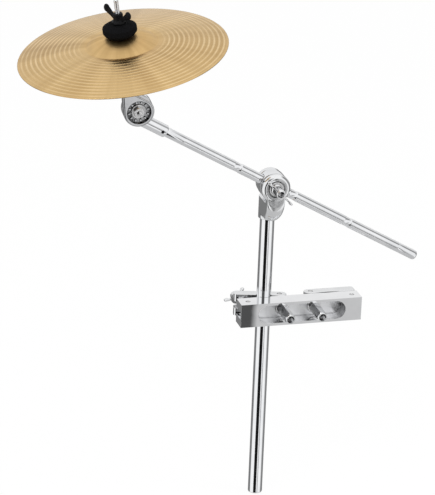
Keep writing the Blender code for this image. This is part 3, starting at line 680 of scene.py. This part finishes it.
def build_base():
    """The socket on the tube, its forward lobe and the round ear of the hinge."""
    base = cylinder(BASE_RADIUS, 394.0, 424.3, AT_TUBE, 96)
    sections = [lobe_ring(LOBE_TIP_Y, underside(LOBE_TIP_Y) + 1.0, 435.0,
                          BASE_RADIUS - 0.6)]
    sections += [lobe_ring(y, underside(y), 436.0)
                 for y in (-36.0, -35.5, -34.6, -33.4, -32.0, -30.0, -28.0)]
    sections += [lobe_ring(y, underside(y), 424.2)
                 for y in (-27.7, -25.5, -23.0, -20.0, -16.0, -12.0, -2.0)]
    lobe = loft(sections, Matrix())
    ear = lathe(rounded([(0, 36.5), (15.8, 36.5), (19.2, 33.4), (19.2, 27.7),
                         (0, 27.7)], radius=1.3, steps=4), AT_HINGE)
    join(base, ear, lobe)
    fuse(base, CAST_VOXEL, 10)
    combine(base, cylinder(9.65, 380, 416.1, AT_TUBE, 96))
    # the stepped recess in the front of the ear
    combine(base, lathe(rounded([(0, 50), (11.9, 50), (11.9, 37.2), (11.4, 36.2),
                                 (11.4, 33.5), (0, 33.5)], radius=0.3), AT_HINGE))
    combine(base, cylinder(SHANK_HOLE, 20, 50, AT_HINGE, 48))
    return smooth(base, 48)


dress(build_base(), "tilter_base", BASE_CHROME)


# ------------------------------------------------------------------ drum
def build_drum():
    drum = lathe(rounded([(11.7, 27.3), (16.6, 27.3), (17.3, 26.4), (19.0, 25.9),
                          (19.0, 9.6), (17.4, 9.0), (17.0, 7.5), (11.7, 7.5)],
                         radius=0.4, closed=True), AT_HINGE, 128, closed=True)
    combine(drum, cylinder(ROD_BORE, -30, 30, AT_ROD))
    # the line where the drum is split, square to the rod on its upper left side
    across = AT_HINGE @ Matrix.Rotation(math.radians(61), 4, "Z") @ UPRIGHT
    combine(drum, block((-0.6, -24, 6.0), (0.6, 24, 19.6), across))
    return drum


dress(build_drum(), "rod_drum", DRUM_CHROME)

cap = rounded([(0, 7.2), (17.7, 7.2), (18.3, 6.6), (18.3, 0.9), (17.6, -0.9),
               (15.9, -2.3), (13.4, -3.0), (9.0, -3.0), (8.4, -2.4), (7.6, -2.4),
               (7.0, -3.0), (0, -3.0)], radius=0.8, steps=4)
dress(lathe(cap, AT_HINGE, 128), "drum_cap", DRUM_CHROME)

dress(eye_bolt(cylinder(9.7, -4.0, 4.0, AT_ROD, 96),
               threaded_shank(tip=50, chamfer=0.6, root=24.7, thread_low=28.5,
                              matrix=AT_HINGE),
               cylinder(ROD_BORE, -9, 9, AT_ROD, 96)), "eye_bolt", STEEL)
dress(washer(9.6, SHANK_HOLE, 33.8, 35.3, AT_HINGE), "boom_washer", STEEL)
dress(wing_nut(AT_HINGE @ shift(0, 0, 35.6), hub=6.2, length=21.9, bore=4.1, span=23.2,
               rise=-2.6, turn=-45, tip=3.2), "boom_wing_nut", BOOM_NUT_CHROME)

# ------------------------------------------------------------------ boom rod
ROD_RADIUS = 6.35
KNURL_LOW = -139.0      # the lower end of the lowest knurled band
KNURL_PITCH = 87.1
KNURL_LENGTH = 77.3


def knurl_bands():
    """(low, high) of the four knurled bands, highest first."""
    lows = [KNURL_LOW + k * KNURL_PITCH for k in (3, 2, 1, 0)]
    return [(low, low + KNURL_LENGTH) for low in lows]


def knurl(radius, z, angle):
    for low, high in knurl_bands():
        if low < z < high:
            ridges = math.cos(24 * angle + z * 3.05) * math.cos(24 * angle - z * 3.05)
            return -0.19 * (0.5 - 0.5 * ridges) - 0.02
    return 0.0


def rod_profile():
    """Four knurled bands with a turned neck between each and the next."""
    bands = knurl_bands()
    profile = [(0, 230), (3.9, 230), (5.4, 229.2), (6.1, 227.8), (ROD_RADIUS, 226.0)]
    for low, high in bands:
        if (low, high) == bands[0]:
            profile += [(ROD_RADIUS, high + 9.0), (ROD_RADIUS, high + 0.2)]
        else:
            profile += [(5.95, high + 0.5), (6.3, high - 0.1)]
        profile += rings(6.4, high - 0.3, low + 0.3, 0.52)
        if (low, high) != bands[-1]:
            profile += [(6.3, low + 0.1), (5.95, low - 0.5)]
    return profile + [(ROD_RADIUS, -139.6), (ROD_RADIUS, -189.0), (5.4, -190), (0, -190)]


dress(lathe(rod_profile(), AT_ROD, displace=knurl), "boom_rod", ROD_CHROME)

# ------------------------------------------------------------------ tilter
SOCKET_RADIUS = 19.6
SOCKET_FRONT = 20.5


def build_socket():
    """The round socket, with the collar that takes the end of the rod."""
    socket = lathe(rounded([(0, SOCKET_FRONT), (19.3, SOCKET_FRONT),
                            (SOCKET_RADIUS, 20.2), (SOCKET_RADIUS, 12.1), (18.8, 10.4),
                            (17.0, 9.5), (0, 9.5)], radius=0.8, steps=4), AT_TILTER)
    collar = lathe(rounded([(0, -166.0), (7.6, -166.0), (8.2, -166.8), (8.2, -207),
                            (0, -207)], radius=0.4), AT_COLLAR)
    join(socket, collar)
    fuse(socket, CAST_VOXEL, 6)
    combine(socket, cylinder(SOCKET_RADIUS + 0.6, SOCKET_FRONT, 60, AT_TILTER, 96))
    combine(socket, cylinder(6.47, -190.6, -150, AT_COLLAR))
    combine(socket, cylinder(BOLT_HOLE, 0, 60, AT_TILTER, 48))
    combine(socket, cylinder(2.2, 5, 12, AT_SCREW, 40))
    return smooth(socket, 48)


dress(build_socket(), "tilter_socket", DRUM_CHROME)

screw = lathe([(0, 7.2), (1.5, 7.2), (1.95, 6.95)] + rings(1.95, 6.95, 6.65, 0.2)
              + [(0, 6.6)], AT_SCREW, 40)
combine(screw, cylinder(1.25, 6.75, 12, AT_SCREW, 6))
dress(screw, "socket_set_screw", DARK_STEEL)

POST_SLOPE = POST_AXIS.x / POST_AXIS.z
POST_FOOT_X = CYMBAL_SEAT.x - POST_SLOPE * (CYMBAL_SEAT.z - TILTER.z) - TILTER.x


def post_x(height):
    """X of the post's axis at a height, both from the tilter's centre."""
    return POST_FOOT_X + POST_SLOPE * height


def build_head():
    """The teardrop head, with the boss that holds the post."""
    right, left = post_x(30) + 8.6, post_x(30) - 8.6
    head = prism(arc(0, 0, SOCKET_RADIUS, 176.0, 405.0, 70)
                 + [(right, 24.0), (right, 30), (left, 30), (left, 24)],
                 20.2, 34.0, AT_TILTER)
    soften_edges(head, width=1.6, segments=4, angle=30)
    bake_modifiers(head)
    boss = lathe(rounded([(0, -35.0), (6.6, -35.0), (8.4, -37.2), (8.6, -50.5),
                          (0, -50.5)], radius=0.8), AT_POST, 72)
    web = block((-8.0 + post_x(24), ROD_Y - 7.0, TILTER.z + 22.5),
                (8.0 + post_x(24), ROD_Y + 7.0, TILTER.z + 30.0),
                TWIST @ Matrix.Translation((TILTER.x * MM, 0, 0)))
    join(head, boss, web)
    fuse(head, CAST_VOXEL, 8)
    combine(head, lathe(rounded([(0, 60), (16.4, 60), (16.4, 35.0), (15.4, 33.4),
                                 (15.2, 29.0), (0, 29.0)], radius=0.4), AT_TILTER))
    # cast teeth round the floor of the recess, which key the washer's rim
    for k in range(12):
        turn = Matrix.Rotation(2 * math.pi * (k + 0.5) / 12, 4, "Z")
        tooth = block((11.0, -0.9, 27.5), (13.6, 0.9, 29.0 + 1.6), AT_TILTER @ turn)
        combine(head, tooth, "UNION")
    combine(head, cylinder(BOLT_HOLE, 0, 60, AT_TILTER, 48))
    combine(head, cylinder(3.25, -46.0, -30.0, AT_POST, 48))
    return smooth(head, 46)


dress(build_head(), "tilter_head", SATIN)

bolt = ([(0, 37.2), (2.4, 37.2), (POST_RADIUS, 36.6)]
        + rings(POST_RADIUS, 36.6, 26.0, 0.25)
        + [(POST_RADIUS, 9.2), (6.9, 9.2), (7.0, 9.0), (7.0, 5.3), (6.7, 4.7),
           (6.0, 4.3), (0, 4.3)])
dress(lathe(bolt, AT_TILTER, 64, displace=thread(1.0, 0.34, 27.0, 36.5)),
      "tilter_bolt", STEEL)
dress(washer(9.4, BOLT_HOLE, 29.3, 30.7, AT_TILTER), "tilter_washer", STEEL)

nut = cylinder(7.2, 31.0, 35.9, AT_TILTER, 6, math.radians(12))
combine(nut, lathe(rounded([(0, 36.1), (6.0, 36.1), (7.6, 34.8), (7.6, 30.6),
                            (0, 30.6)], radius=0.1, steps=1), AT_TILTER, 64),
        "INTERSECT")
combine(nut, cylinder(3.3, 20, 50, AT_TILTER, 48))
dress(soften_edges(nut, width=0.25), "tilter_nut", STEEL)

# ------------------------------------------------------------------ post, felts
post = ([(0, 72), (1.5, 72), (2.5, 71.3), (POST_RADIUS, 70.2)]
        + rings(POST_RADIUS, 70.2, 5.2, 0.22)
        + [(4.6, 5.0), (5.0, 4.6), (5.0, -34.3), (4.7, -34.6), (POST_RADIUS, -34.6),
           (POST_RADIUS, -45.6), (0, -45.6)])
dress(lathe(post, AT_POST, 48, displace=thread(1.0, 0.36, 8.0, 70.0)),
      "cymbal_post", ROD_CHROME)
dress(washer(13.5, 3.3, 5.3, 7.0, AT_POST, 96), "seat_washer", STEEL)
sleeve_profile = rounded([(3.25, 40.2), (4.6, 40.2), (4.9, 39.8), (4.9, 7.3),
                          (3.25, 7.3)], radius=0.2, steps=2, closed=True)
dress(lathe(sleeve_profile, AT_POST, 64, closed=True), "cymbal_sleeve", PLASTIC)


def fuzz(amount, seed):
    """The uneven surface of felt, away from its bore."""
    def displace(radius, z, angle):
        if radius < 6.0:
            return 0.0
        spot = Vector((radius * math.cos(angle) * 0.42, radius * math.sin(angle) * 0.42,
                       z * 0.42 + seed))
        return amount * noise.noise(spot) + amount * 0.5 * noise.noise(spot * 2.7)
    return displace


def felt(outline, radius, segments, displace):
    """A felt ring, its rounded outline split to points about 0.8 apart."""
    profile = rounded(outline, radius, steps=4, closed=True)
    dense = []
    for (r0, z0), (r1, z1) in zip(profile, profile[1:] + profile[:1]):
        count = max(1, int(math.hypot(r1 - r0, z1 - z0) / 0.8))
        dense += [(r0 + (r1 - r0) * i / count, z0 + (z1 - z0) * i / count)
                  for i in range(count)]
    return lathe(dense, AT_POST, segments, closed=True, displace=displace)


LOWER_FELT = [(5.2, 21.2), (15.4, 20.8), (16.9, 18.6), (16.9, 9.6), (15.2, 7.4),
              (5.2, 7.4)]
UPPER_FELT = [(5.2, 39.5), (14.8, 39.5), (21.5, 35.4), (21.6, 28.5), (17.6, 23.9),
              (5.2, 23.9)]
dress(felt(LOWER_FELT, 1.4, 120, fuzz(amount=0.18, seed=3.0)), "lower_felt", FELT)
dress(felt(UPPER_FELT, 0.9, 140, fuzz(amount=0.2, seed=9.0)), "upper_felt", FELT)
dress(wing_nut(AT_POST @ shift(0, 0, 40.6), hub=6.4, length=13.0, bore=3.3, span=22.2,
               rise=5.0, turn=-57, tip=5.4, thick=3.8, base_radius=9.0, slant=-1.5),
      "cymbal_wing_nut", PLASTIC)

# ------------------------------------------------------------------ cymbal
CYMBAL_RADIUS = 132.8
CYMBAL_BORE = 5.6
BELL_RADIUS = 45.0
BOW_HEIGHT = 12.0
BELL_HEIGHT = 23.3
CYMBAL_THICKNESS = 1.1


def cymbal_height(radius):
    if radius >= BELL_RADIUS:
        t = (CYMBAL_RADIUS - radius) / (CYMBAL_RADIUS - BELL_RADIUS)
        height = BOW_HEIGHT * (1.0 - (1.0 - t) ** 1.55)
    else:
        t = radius / BELL_RADIUS
        height = BOW_HEIGHT + (BELL_HEIGHT - BOW_HEIGHT) * (1.0 - t ** 2.3)
    # the crease where the bell meets the bow is a soft one
    return height - 0.55 * math.exp(-((radius - BELL_RADIUS) / 4.0) ** 2) * 0.6


def groove(radius):
    """Narrow raised rings with hollows between, left by the lathe."""
    if not RING_LOW < radius < RING_HIGH:
        return 0.0
    fade = (min(1.0, (radius - RING_LOW) / 2.0, (RING_HIGH - radius) / 2.0)
            * (0.65 if radius < 71 else 1.0))
    t = ((radius - RING_LOW) / RING_PITCH) % 1.0
    return 0.15 * fade * (math.exp(-((t - 0.5) / 0.14) ** 2) - 0.35)


def cymbal_profile():
    """The top from the bore outwards, the rim, then the underside back in."""
    profile = []
    radius = CYMBAL_BORE
    while radius < 131.6:
        profile.append((radius, cymbal_height(radius) + groove(radius)))
        radius += 0.5 if radius > 48 else 1.2
    profile += [(132.3, cymbal_height(132.0) - 0.02), (132.7, -0.2),
                (CYMBAL_RADIUS, -0.55), (132.7, -0.9), (132.2, -1.05)]
    return profile + [(r, cymbal_height(r) - CYMBAL_THICKNESS)
                      for r in [130.0 - 2.2 * i for i in range(57)] + [CYMBAL_BORE]]


dress(lathe(cymbal_profile(), AT_POST, 216, closed=True), "cymbal", BRASS)

# ------------------------------------------------------------------ clamp bar
BAR_Z = 268.8
AT_BAR = shift(0, 0, BAR_Z)
AT_BAR_FRONT = place((0, -1, 0), (1, 0, 0), (0, 0, BAR_Z))
PIVOT_Y = -19
SLOT_LEFT = -15.1
SLOT_RIGHT = 104.2
SLOT_RADIUS = 12.35
# What differs between the clamp's ends. pivot_x is where the swing bolt hinges,
# stud_x and pin_y where the jaw does; angle turns the jaw about that pin; nut_y and
# end_y are the wing nut's seat and the swing bolt's tip. The grooves are
# (radius, x, y, facets), in the frames of the bar and of the jaw.
SIDES = (
    SimpleNamespace(tag="left", sign=-1, angle=math.radians(14.0), pivot_x=-27.0,
                    stud_x=22.4, pin_y=3.3, nut_y=34.7, end_y=48.5, hex_turn=8.0,
                    wing_turn=-32.0, bar_groove=(10.5, 0.0, 0.775, 128),
                    jaw_groove=(10.5, 21.0, -9.45, 128)),
    SimpleNamespace(tag="right", sign=1, angle=0.0, pivot_x=115.5,
                    stud_x=66.0, pin_y=4.9, nut_y=20.7, end_y=34.5, hex_turn=22.0,
                    wing_turn=4.0, bar_groove=(56.5, 87.0, 49.5, 400),
                    jaw_groove=(76.5, 21.0, -81.9, 600)))


def cut_groove(ob, matrix, radius, x, y, facets):
    """Cuts an upright round groove."""
    combine(ob, cylinder(radius, -20, 20, matrix @ shift(x, y, 0), facets))


def build_bar():
    bar = block((-38.8, -30.5, -16), (126.2, -6.5, 16), AT_BAR)
    slot = (arc(SLOT_RIGHT - SLOT_RADIUS, 0, SLOT_RADIUS, -90, 90, 40)
            + arc(SLOT_LEFT + SLOT_RADIUS, 0, SLOT_RADIUS, 90, 270, 40))
    combine(bar, prism(slot, 10.5, 45, AT_BAR_FRONT))
    for end in SIDES:
        # the fork at the bar's end, its pin hole, the groove behind and the stud hole
        low, high = sorted((end.pivot_x - end.sign * 7.6, end.pivot_x + end.sign * 20))
        combine(bar, block((low, -26.8, -5.2), (high, 0, 5.2), AT_BAR))
        combine(bar, cylinder(PIN_HOLE, -20, 20, shift(end.pivot_x, PIVOT_Y, BAR_Z), 48))
        cut_groove(bar, AT_BAR, *end.bar_groove)
        combine(bar, cylinder(SHANK_HOLE, 0, 14,
                              place(FRONT, (1, 0, 0), (end.stud_x, 0, BAR_Z)), 48,
                              turn=0.06))
    return soften_edges(bar, width=1.0, segments=3, angle=50)


dress(build_bar(), "clamp_bar", BAR_CHROME)


# ------------------------------------------------------------------ clamp sides
def build_jaw(end, matrix):
    plan = (arc(-2.4, -0.2, 7.0, 90, 270, 28) + arc(56.0, -3.2, 4.0, -90, 0, 8)
            + arc(56.0, 2.8, 4.0, 0, 90, 8))
    jaw = prism(plan, -15, 15, matrix)
    cut_groove(jaw, matrix, *end.jaw_groove)
    # slots for the stud's eye and, at the far end, for the swing bolt
    combine(jaw, block((-20, -12, -4.6), (9.0, 12, 4.6), matrix))
    combine(jaw, block((44.0, -12, -4.8), (70, 12, 4.8), matrix))
    combine(jaw, cylinder(PIN_HOLE, -20, 20, matrix, 48))
    return soften_edges(jaw, width=0.8, segments=3, angle=50)


def build_sleeve_nut(turn, matrix):
    nut = cylinder(7.1, 12.6, 52.5, matrix, 6, math.radians(turn))
    combine(nut, lathe(rounded([(0, 52.4), (5.5, 52.4), (6.5, 51.2), (7.2, 48.8),
                                (7.2, 13.6), (6.5, 12.5), (0, 12.5)], radius=0.3),
                       matrix, 64), "INTERSECT")
    # a turned waist near the front, and the hollow end
    combine(nut, lathe(rounded([(9, 49.2), (6.3, 48.9), (6.3, 47.9), (9, 47.6)],
                               radius=0.05, steps=1, closed=True),
                       matrix, 64, closed=True))
    combine(nut, lathe(rounded([(0, 60), (4.9, 60), (4.9, 51.6), (4.25, 50.6),
                                (4.25, 0), (0, 0)], radius=0.1, steps=1), matrix, 48))
    smooth(nut, 30)
    return soften_edges(nut, width=0.22, angle=28)


HINGE_PIN = rounded([(0, 14.7), (1.2, 14.7), (1.5, 14.3), (2.3, 14.7), (3.0, 14.3),
                     (3.0, -14.3), (2.6, -14.7), (0, -14.7)], radius=0.2, steps=2)
SWING_PIN = rounded([(0, 15.2), (1.0, 15.2), (1.3, 14.7), (2.2, 14.9), (3.0, 15.65),
                     (3.0, -15.65), (2.5, -15.65), (0, -15.4)], radius=0.2, steps=2)


def build_side(end):
    along = Vector((end.sign * math.cos(end.angle), math.sin(end.angle), 0))
    across = Vector((-end.sign * math.sin(end.angle), math.cos(end.angle), 0))
    pin = Vector((end.stud_x, end.pin_y, BAR_Z))
    at_jaw = place(along.cross(across), along, pin)
    at_pin = Matrix.Translation(pin * MM)
    at_stud = place(FRONT, (1, 0, 0), (end.stud_x, 0, BAR_Z))
    at_pivot = shift(end.pivot_x, PIVOT_Y, BAR_Z)
    at_shank = place((0, 1, 0), (1, 0, 0), (end.pivot_x, 0, BAR_Z))
    tag = end.tag

    dress(build_jaw(end, at_jaw), f"{tag}_jaw", JAW_CHROME)
    dress(lathe(HINGE_PIN, at_pin, 48), f"{tag}_hinge_pin", STEEL)
    dress(eye_bolt(ring_blank(4.1, at_pin),
                   threaded_shank(tip=40, chamfer=0.5, root=-end.pin_y + 4.2,
                                  thread_low=8.0, matrix=at_stud),
                   cylinder(PIN_HOLE, -9, 9, at_pin, 48)), f"{tag}_eye_stud", STEEL)
    dress(washer(8.8, SHANK_HOLE, 10.8, 12.3, at_stud), f"{tag}_stud_washer", STEEL)
    dress(build_sleeve_nut(end.hex_turn, at_stud), f"{tag}_sleeve_nut", NUT_CHROME)
    dress(eye_bolt(ring_blank(4.7, at_pivot),
                   threaded_shank(tip=end.end_y, chamfer=0.5, root=-14.6,
                                  thread_low=4.0, matrix=at_shank),
                   cylinder(PIN_HOLE, -9, 9, at_pivot, 48)), f"{tag}_swing_bolt", STEEL)
    # a rivet with a set centre shows at the top and bottom of the bar
    dress(lathe(SWING_PIN, at_pivot, 48), f"{tag}_swing_pin", STEEL)
    dress(washer(8.0, SHANK_HOLE, end.nut_y - 1.9, end.nut_y - 0.3, at_shank),
          f"{tag}_jaw_washer", STEEL)
    dress(wing_nut(at_shank @ shift(0, 0, end.nut_y), hub=6.0, length=10.8, bore=4.2,
                   span=15.3, rise=3.6, turn=end.wing_turn, tip=3.2),
          f"{tag}_jaw_wing_nut", NUT_CHROME)


for side_end in SIDES:
    build_side(side_end)


# ------------------------------------------------------------------ studio
def build_floor():
    """A pale, mostly self-lit floor that stays out of reflections."""
    bm = bmesh.new()
    bmesh.ops.create_grid(bm, x_segments=2, y_segments=2, size=30.0)
    floor = link_bmesh(bm, Matrix.Translation((0, 0, -0.0015)), "floor")
    material = bpy.data.materials.new("pale_floor")
    material.use_nodes = True
    tree = material.node_tree
    tree.nodes.remove(tree.nodes["Principled BSDF"])
    diffuse = node(tree, "BsdfDiffuse", {"Color": (0.90, 0.90, 0.90, 1)})
    glow = node(tree, "Emission", {"Color": (1.0, 1.0, 1.0, 1), "Strength": 1.0})
    blend = node(tree, "MixShader", {0: 0.93, 1: diffuse.outputs[0], 2: glow.outputs[0]})
    feed(tree, tree.nodes["Material Output"], {"Surface": blend.outputs[0]})
    floor.data.materials.append(material)
    floor.visible_glossy = False


def grey_ramp(tree, factor, stops):
    """A ramp of greys through (position, brightness) stops."""
    ramp = node(tree, "ValToRGB")
    elements = ramp.color_ramp.elements
    while len(elements) > 1:
        elements.remove(elements[-1])
    elements[0].position = stops[0][0]
    elements[0].color = (*[stops[0][1]] * 3, 1)
    for position, grey in stops[1:]:
        elements.new(position).color = (*[grey] * 3, 1)
    feed(tree, ramp, {"Fac": factor})
    return ramp.outputs["Color"]


# brightness round the studio as (degrees from the front towards +X, grey)
LOW_PANELS = [
    (-180, 0.22), (-112, 0.20), (-104, 1.0), (-49, 1.0), (-46.5, 0.01), (-1.5, 0.01),
    (0.5, 1.0), (12.0, 1.0), (13.4, 0.56), (25, 0.60), (28, 1.0), (70, 1.0), (78, 0.35),
    (110, 0.20), (180, 0.22)]
HIGH_PANELS = [
    (-180, 0.86), (-140, 0.90), (-110, 0.45), (-96, 1.0), (-52, 1.0), (-44, 0.10),
    (-8, 0.08), (2, 1.0), (60, 1.0), (74, 0.25), (96, 0.35), (120, 0.85), (180, 0.86)]
# by elevation, 0 straight down and 1 straight up: the share of the high panels, the
# brightness of the poles and the share of the poles
HIGH_SHARE = [(0.0, 0.0), (0.47, 0.0), (0.53, 1.0), (1.0, 1.0)]
POLES = [(0.0, 0.60), (0.20, 0.60), (0.50, 0.7), (0.80, 1.0), (1.0, 1.0)]
POLE_SHARE = [(0.0, 1.0), (0.12, 1.0), (0.22, 0.0), (0.80, 0.0), (0.90, 1.0), (1.0, 1.0)]


def build_world():
    """A ring of soft panels and dark gaps, seen only in reflections."""
    world = bpy.data.worlds.new("studio")
    scene.world = world
    world.use_nodes = True
    tree = world.node_tree
    coord = node(tree, "TexCoord").outputs["Generated"]
    x, y, z = node(tree, "SeparateXYZ", {0: coord}).outputs

    def panels(stops):
        return grey_ramp(tree, azimuth, [(0.5 + deg / 360.0, grey) for deg, grey in stops])

    # azimuth from -Y towards +X, as a share of a full turn, 0.5 straight ahead
    azimuth = math_node(tree, "ARCTAN2", x, math_node(tree, "MULTIPLY", y, -1.0))
    azimuth = math_node(tree, "MULTIPLY_ADD", azimuth, 1 / (2 * math.pi), 0.5)
    degrees = math_node(tree, "MULTIPLY_ADD", azimuth, 360.0, -180.0)
    # a narrow dark card, its far edge sharp in the left end of the clamp bar
    card = math_node(tree, "MAXIMUM",
                     remap(tree, degrees, 0.0, 1.0, start=13.6, end=13.2),
                     remap(tree, degrees, 0.0, 1.0, start=16.97, end=17.12))
    card = math_node(tree, "MULTIPLY_ADD", card, 0.86, 0.14)
    low_band = node(tree, "VectorMath", {0: panels(LOW_PANELS), "Scale": card},
                    operation="SCALE").outputs[0]
    elevation = math_node(tree, "MULTIPLY_ADD", z, 0.5, 0.5)
    sides = mix_colour(tree, grey_ramp(tree, elevation, HIGH_SHARE), low_band,
                       panels(HIGH_PANELS))
    # straight up is one big soft panel; straight down is the grey of the sweep
    full = mix_colour(tree, grey_ramp(tree, elevation, POLE_SHARE), sides,
                      grey_ramp(tree, elevation, POLES))
    glossy = node(tree, "LightPath").outputs["Is Glossy Ray"]
    feed(tree, tree.nodes["Background"], {
        "Color": mix_colour(tree, glossy, (0.95, 0.95, 0.95), full), "Strength": 1.0})


def area_light(name, location, target, size, power, glossy=False):
    """A round lamp, placed in metres and aimed at its target."""
    light = bpy.data.lights.new(name, "AREA")
    light.shape = "DISK"
    light.size = size
    light.energy = power
    ob = bpy.data.objects.new(name, light)
    scene.collection.objects.link(ob)
    ob.location = location
    aim = Vector(target) - Vector(location)
    ob.rotation_euler = aim.to_track_quat("-Z", "Y").to_euler()
    ob.visible_glossy = glossy


build_floor()
build_world()
area_light("key", (-1.3, -1.6, 2.2), target=(0, 0, 0.35), size=1.4, power=16.0)
area_light("fill", (1.6, -0.9, 1.4), target=(0, 0, 0.35), size=1.6, power=8.0)
area_light("glint", (-0.9, -0.5, 1.9), target=(-0.2, 0, 0.65), size=0.25, power=1.2,
           glossy=True)

# ------------------------------------------------------------------ camera
CAMERA_AZIMUTH = math.radians(-16.2)
CAMERA_ELEVATION = math.radians(20.9)
CAMERA_ROLL = math.radians(2.24)
CAMERA_PLACE = (-1.03018, -3.31931, 1.67580)    # metres
FOCAL_LENGTH = 206.8727272727


def build_camera():
    camera = bpy.data.cameras.new("camera")
    ob = bpy.data.objects.new("camera", camera)
    scene.collection.objects.link(ob)
    azimuth, elevation, roll = CAMERA_AZIMUTH, CAMERA_ELEVATION, CAMERA_ROLL
    back = Vector((math.sin(azimuth) * math.cos(elevation),
                   -math.cos(azimuth) * math.cos(elevation), math.sin(elevation)))
    right = Vector((math.cos(azimuth), math.sin(azimuth), 0.0))
    up = back.cross(right)
    rolled_right = right * math.cos(roll) + up * math.sin(roll)
    rolled_up = up * math.cos(roll) - right * math.sin(roll)
    matrix = Matrix((rolled_right, rolled_up, back)).transposed().to_4x4()
    matrix.translation = Vector(CAMERA_PLACE)
    ob.matrix_world = matrix
    camera.sensor_width = 36.0
    camera.sensor_fit = "AUTO"
    camera.lens = FOCAL_LENGTH
    camera.clip_start = 0.1
    camera.clip_end = 100.0
    scene.camera = ob


build_camera()
scene.view_settings.view_transform = "Standard"
scene.view_settings.look = "None"

# ------------------------------------------------------------------ finish
bpy.context.view_layer.update()
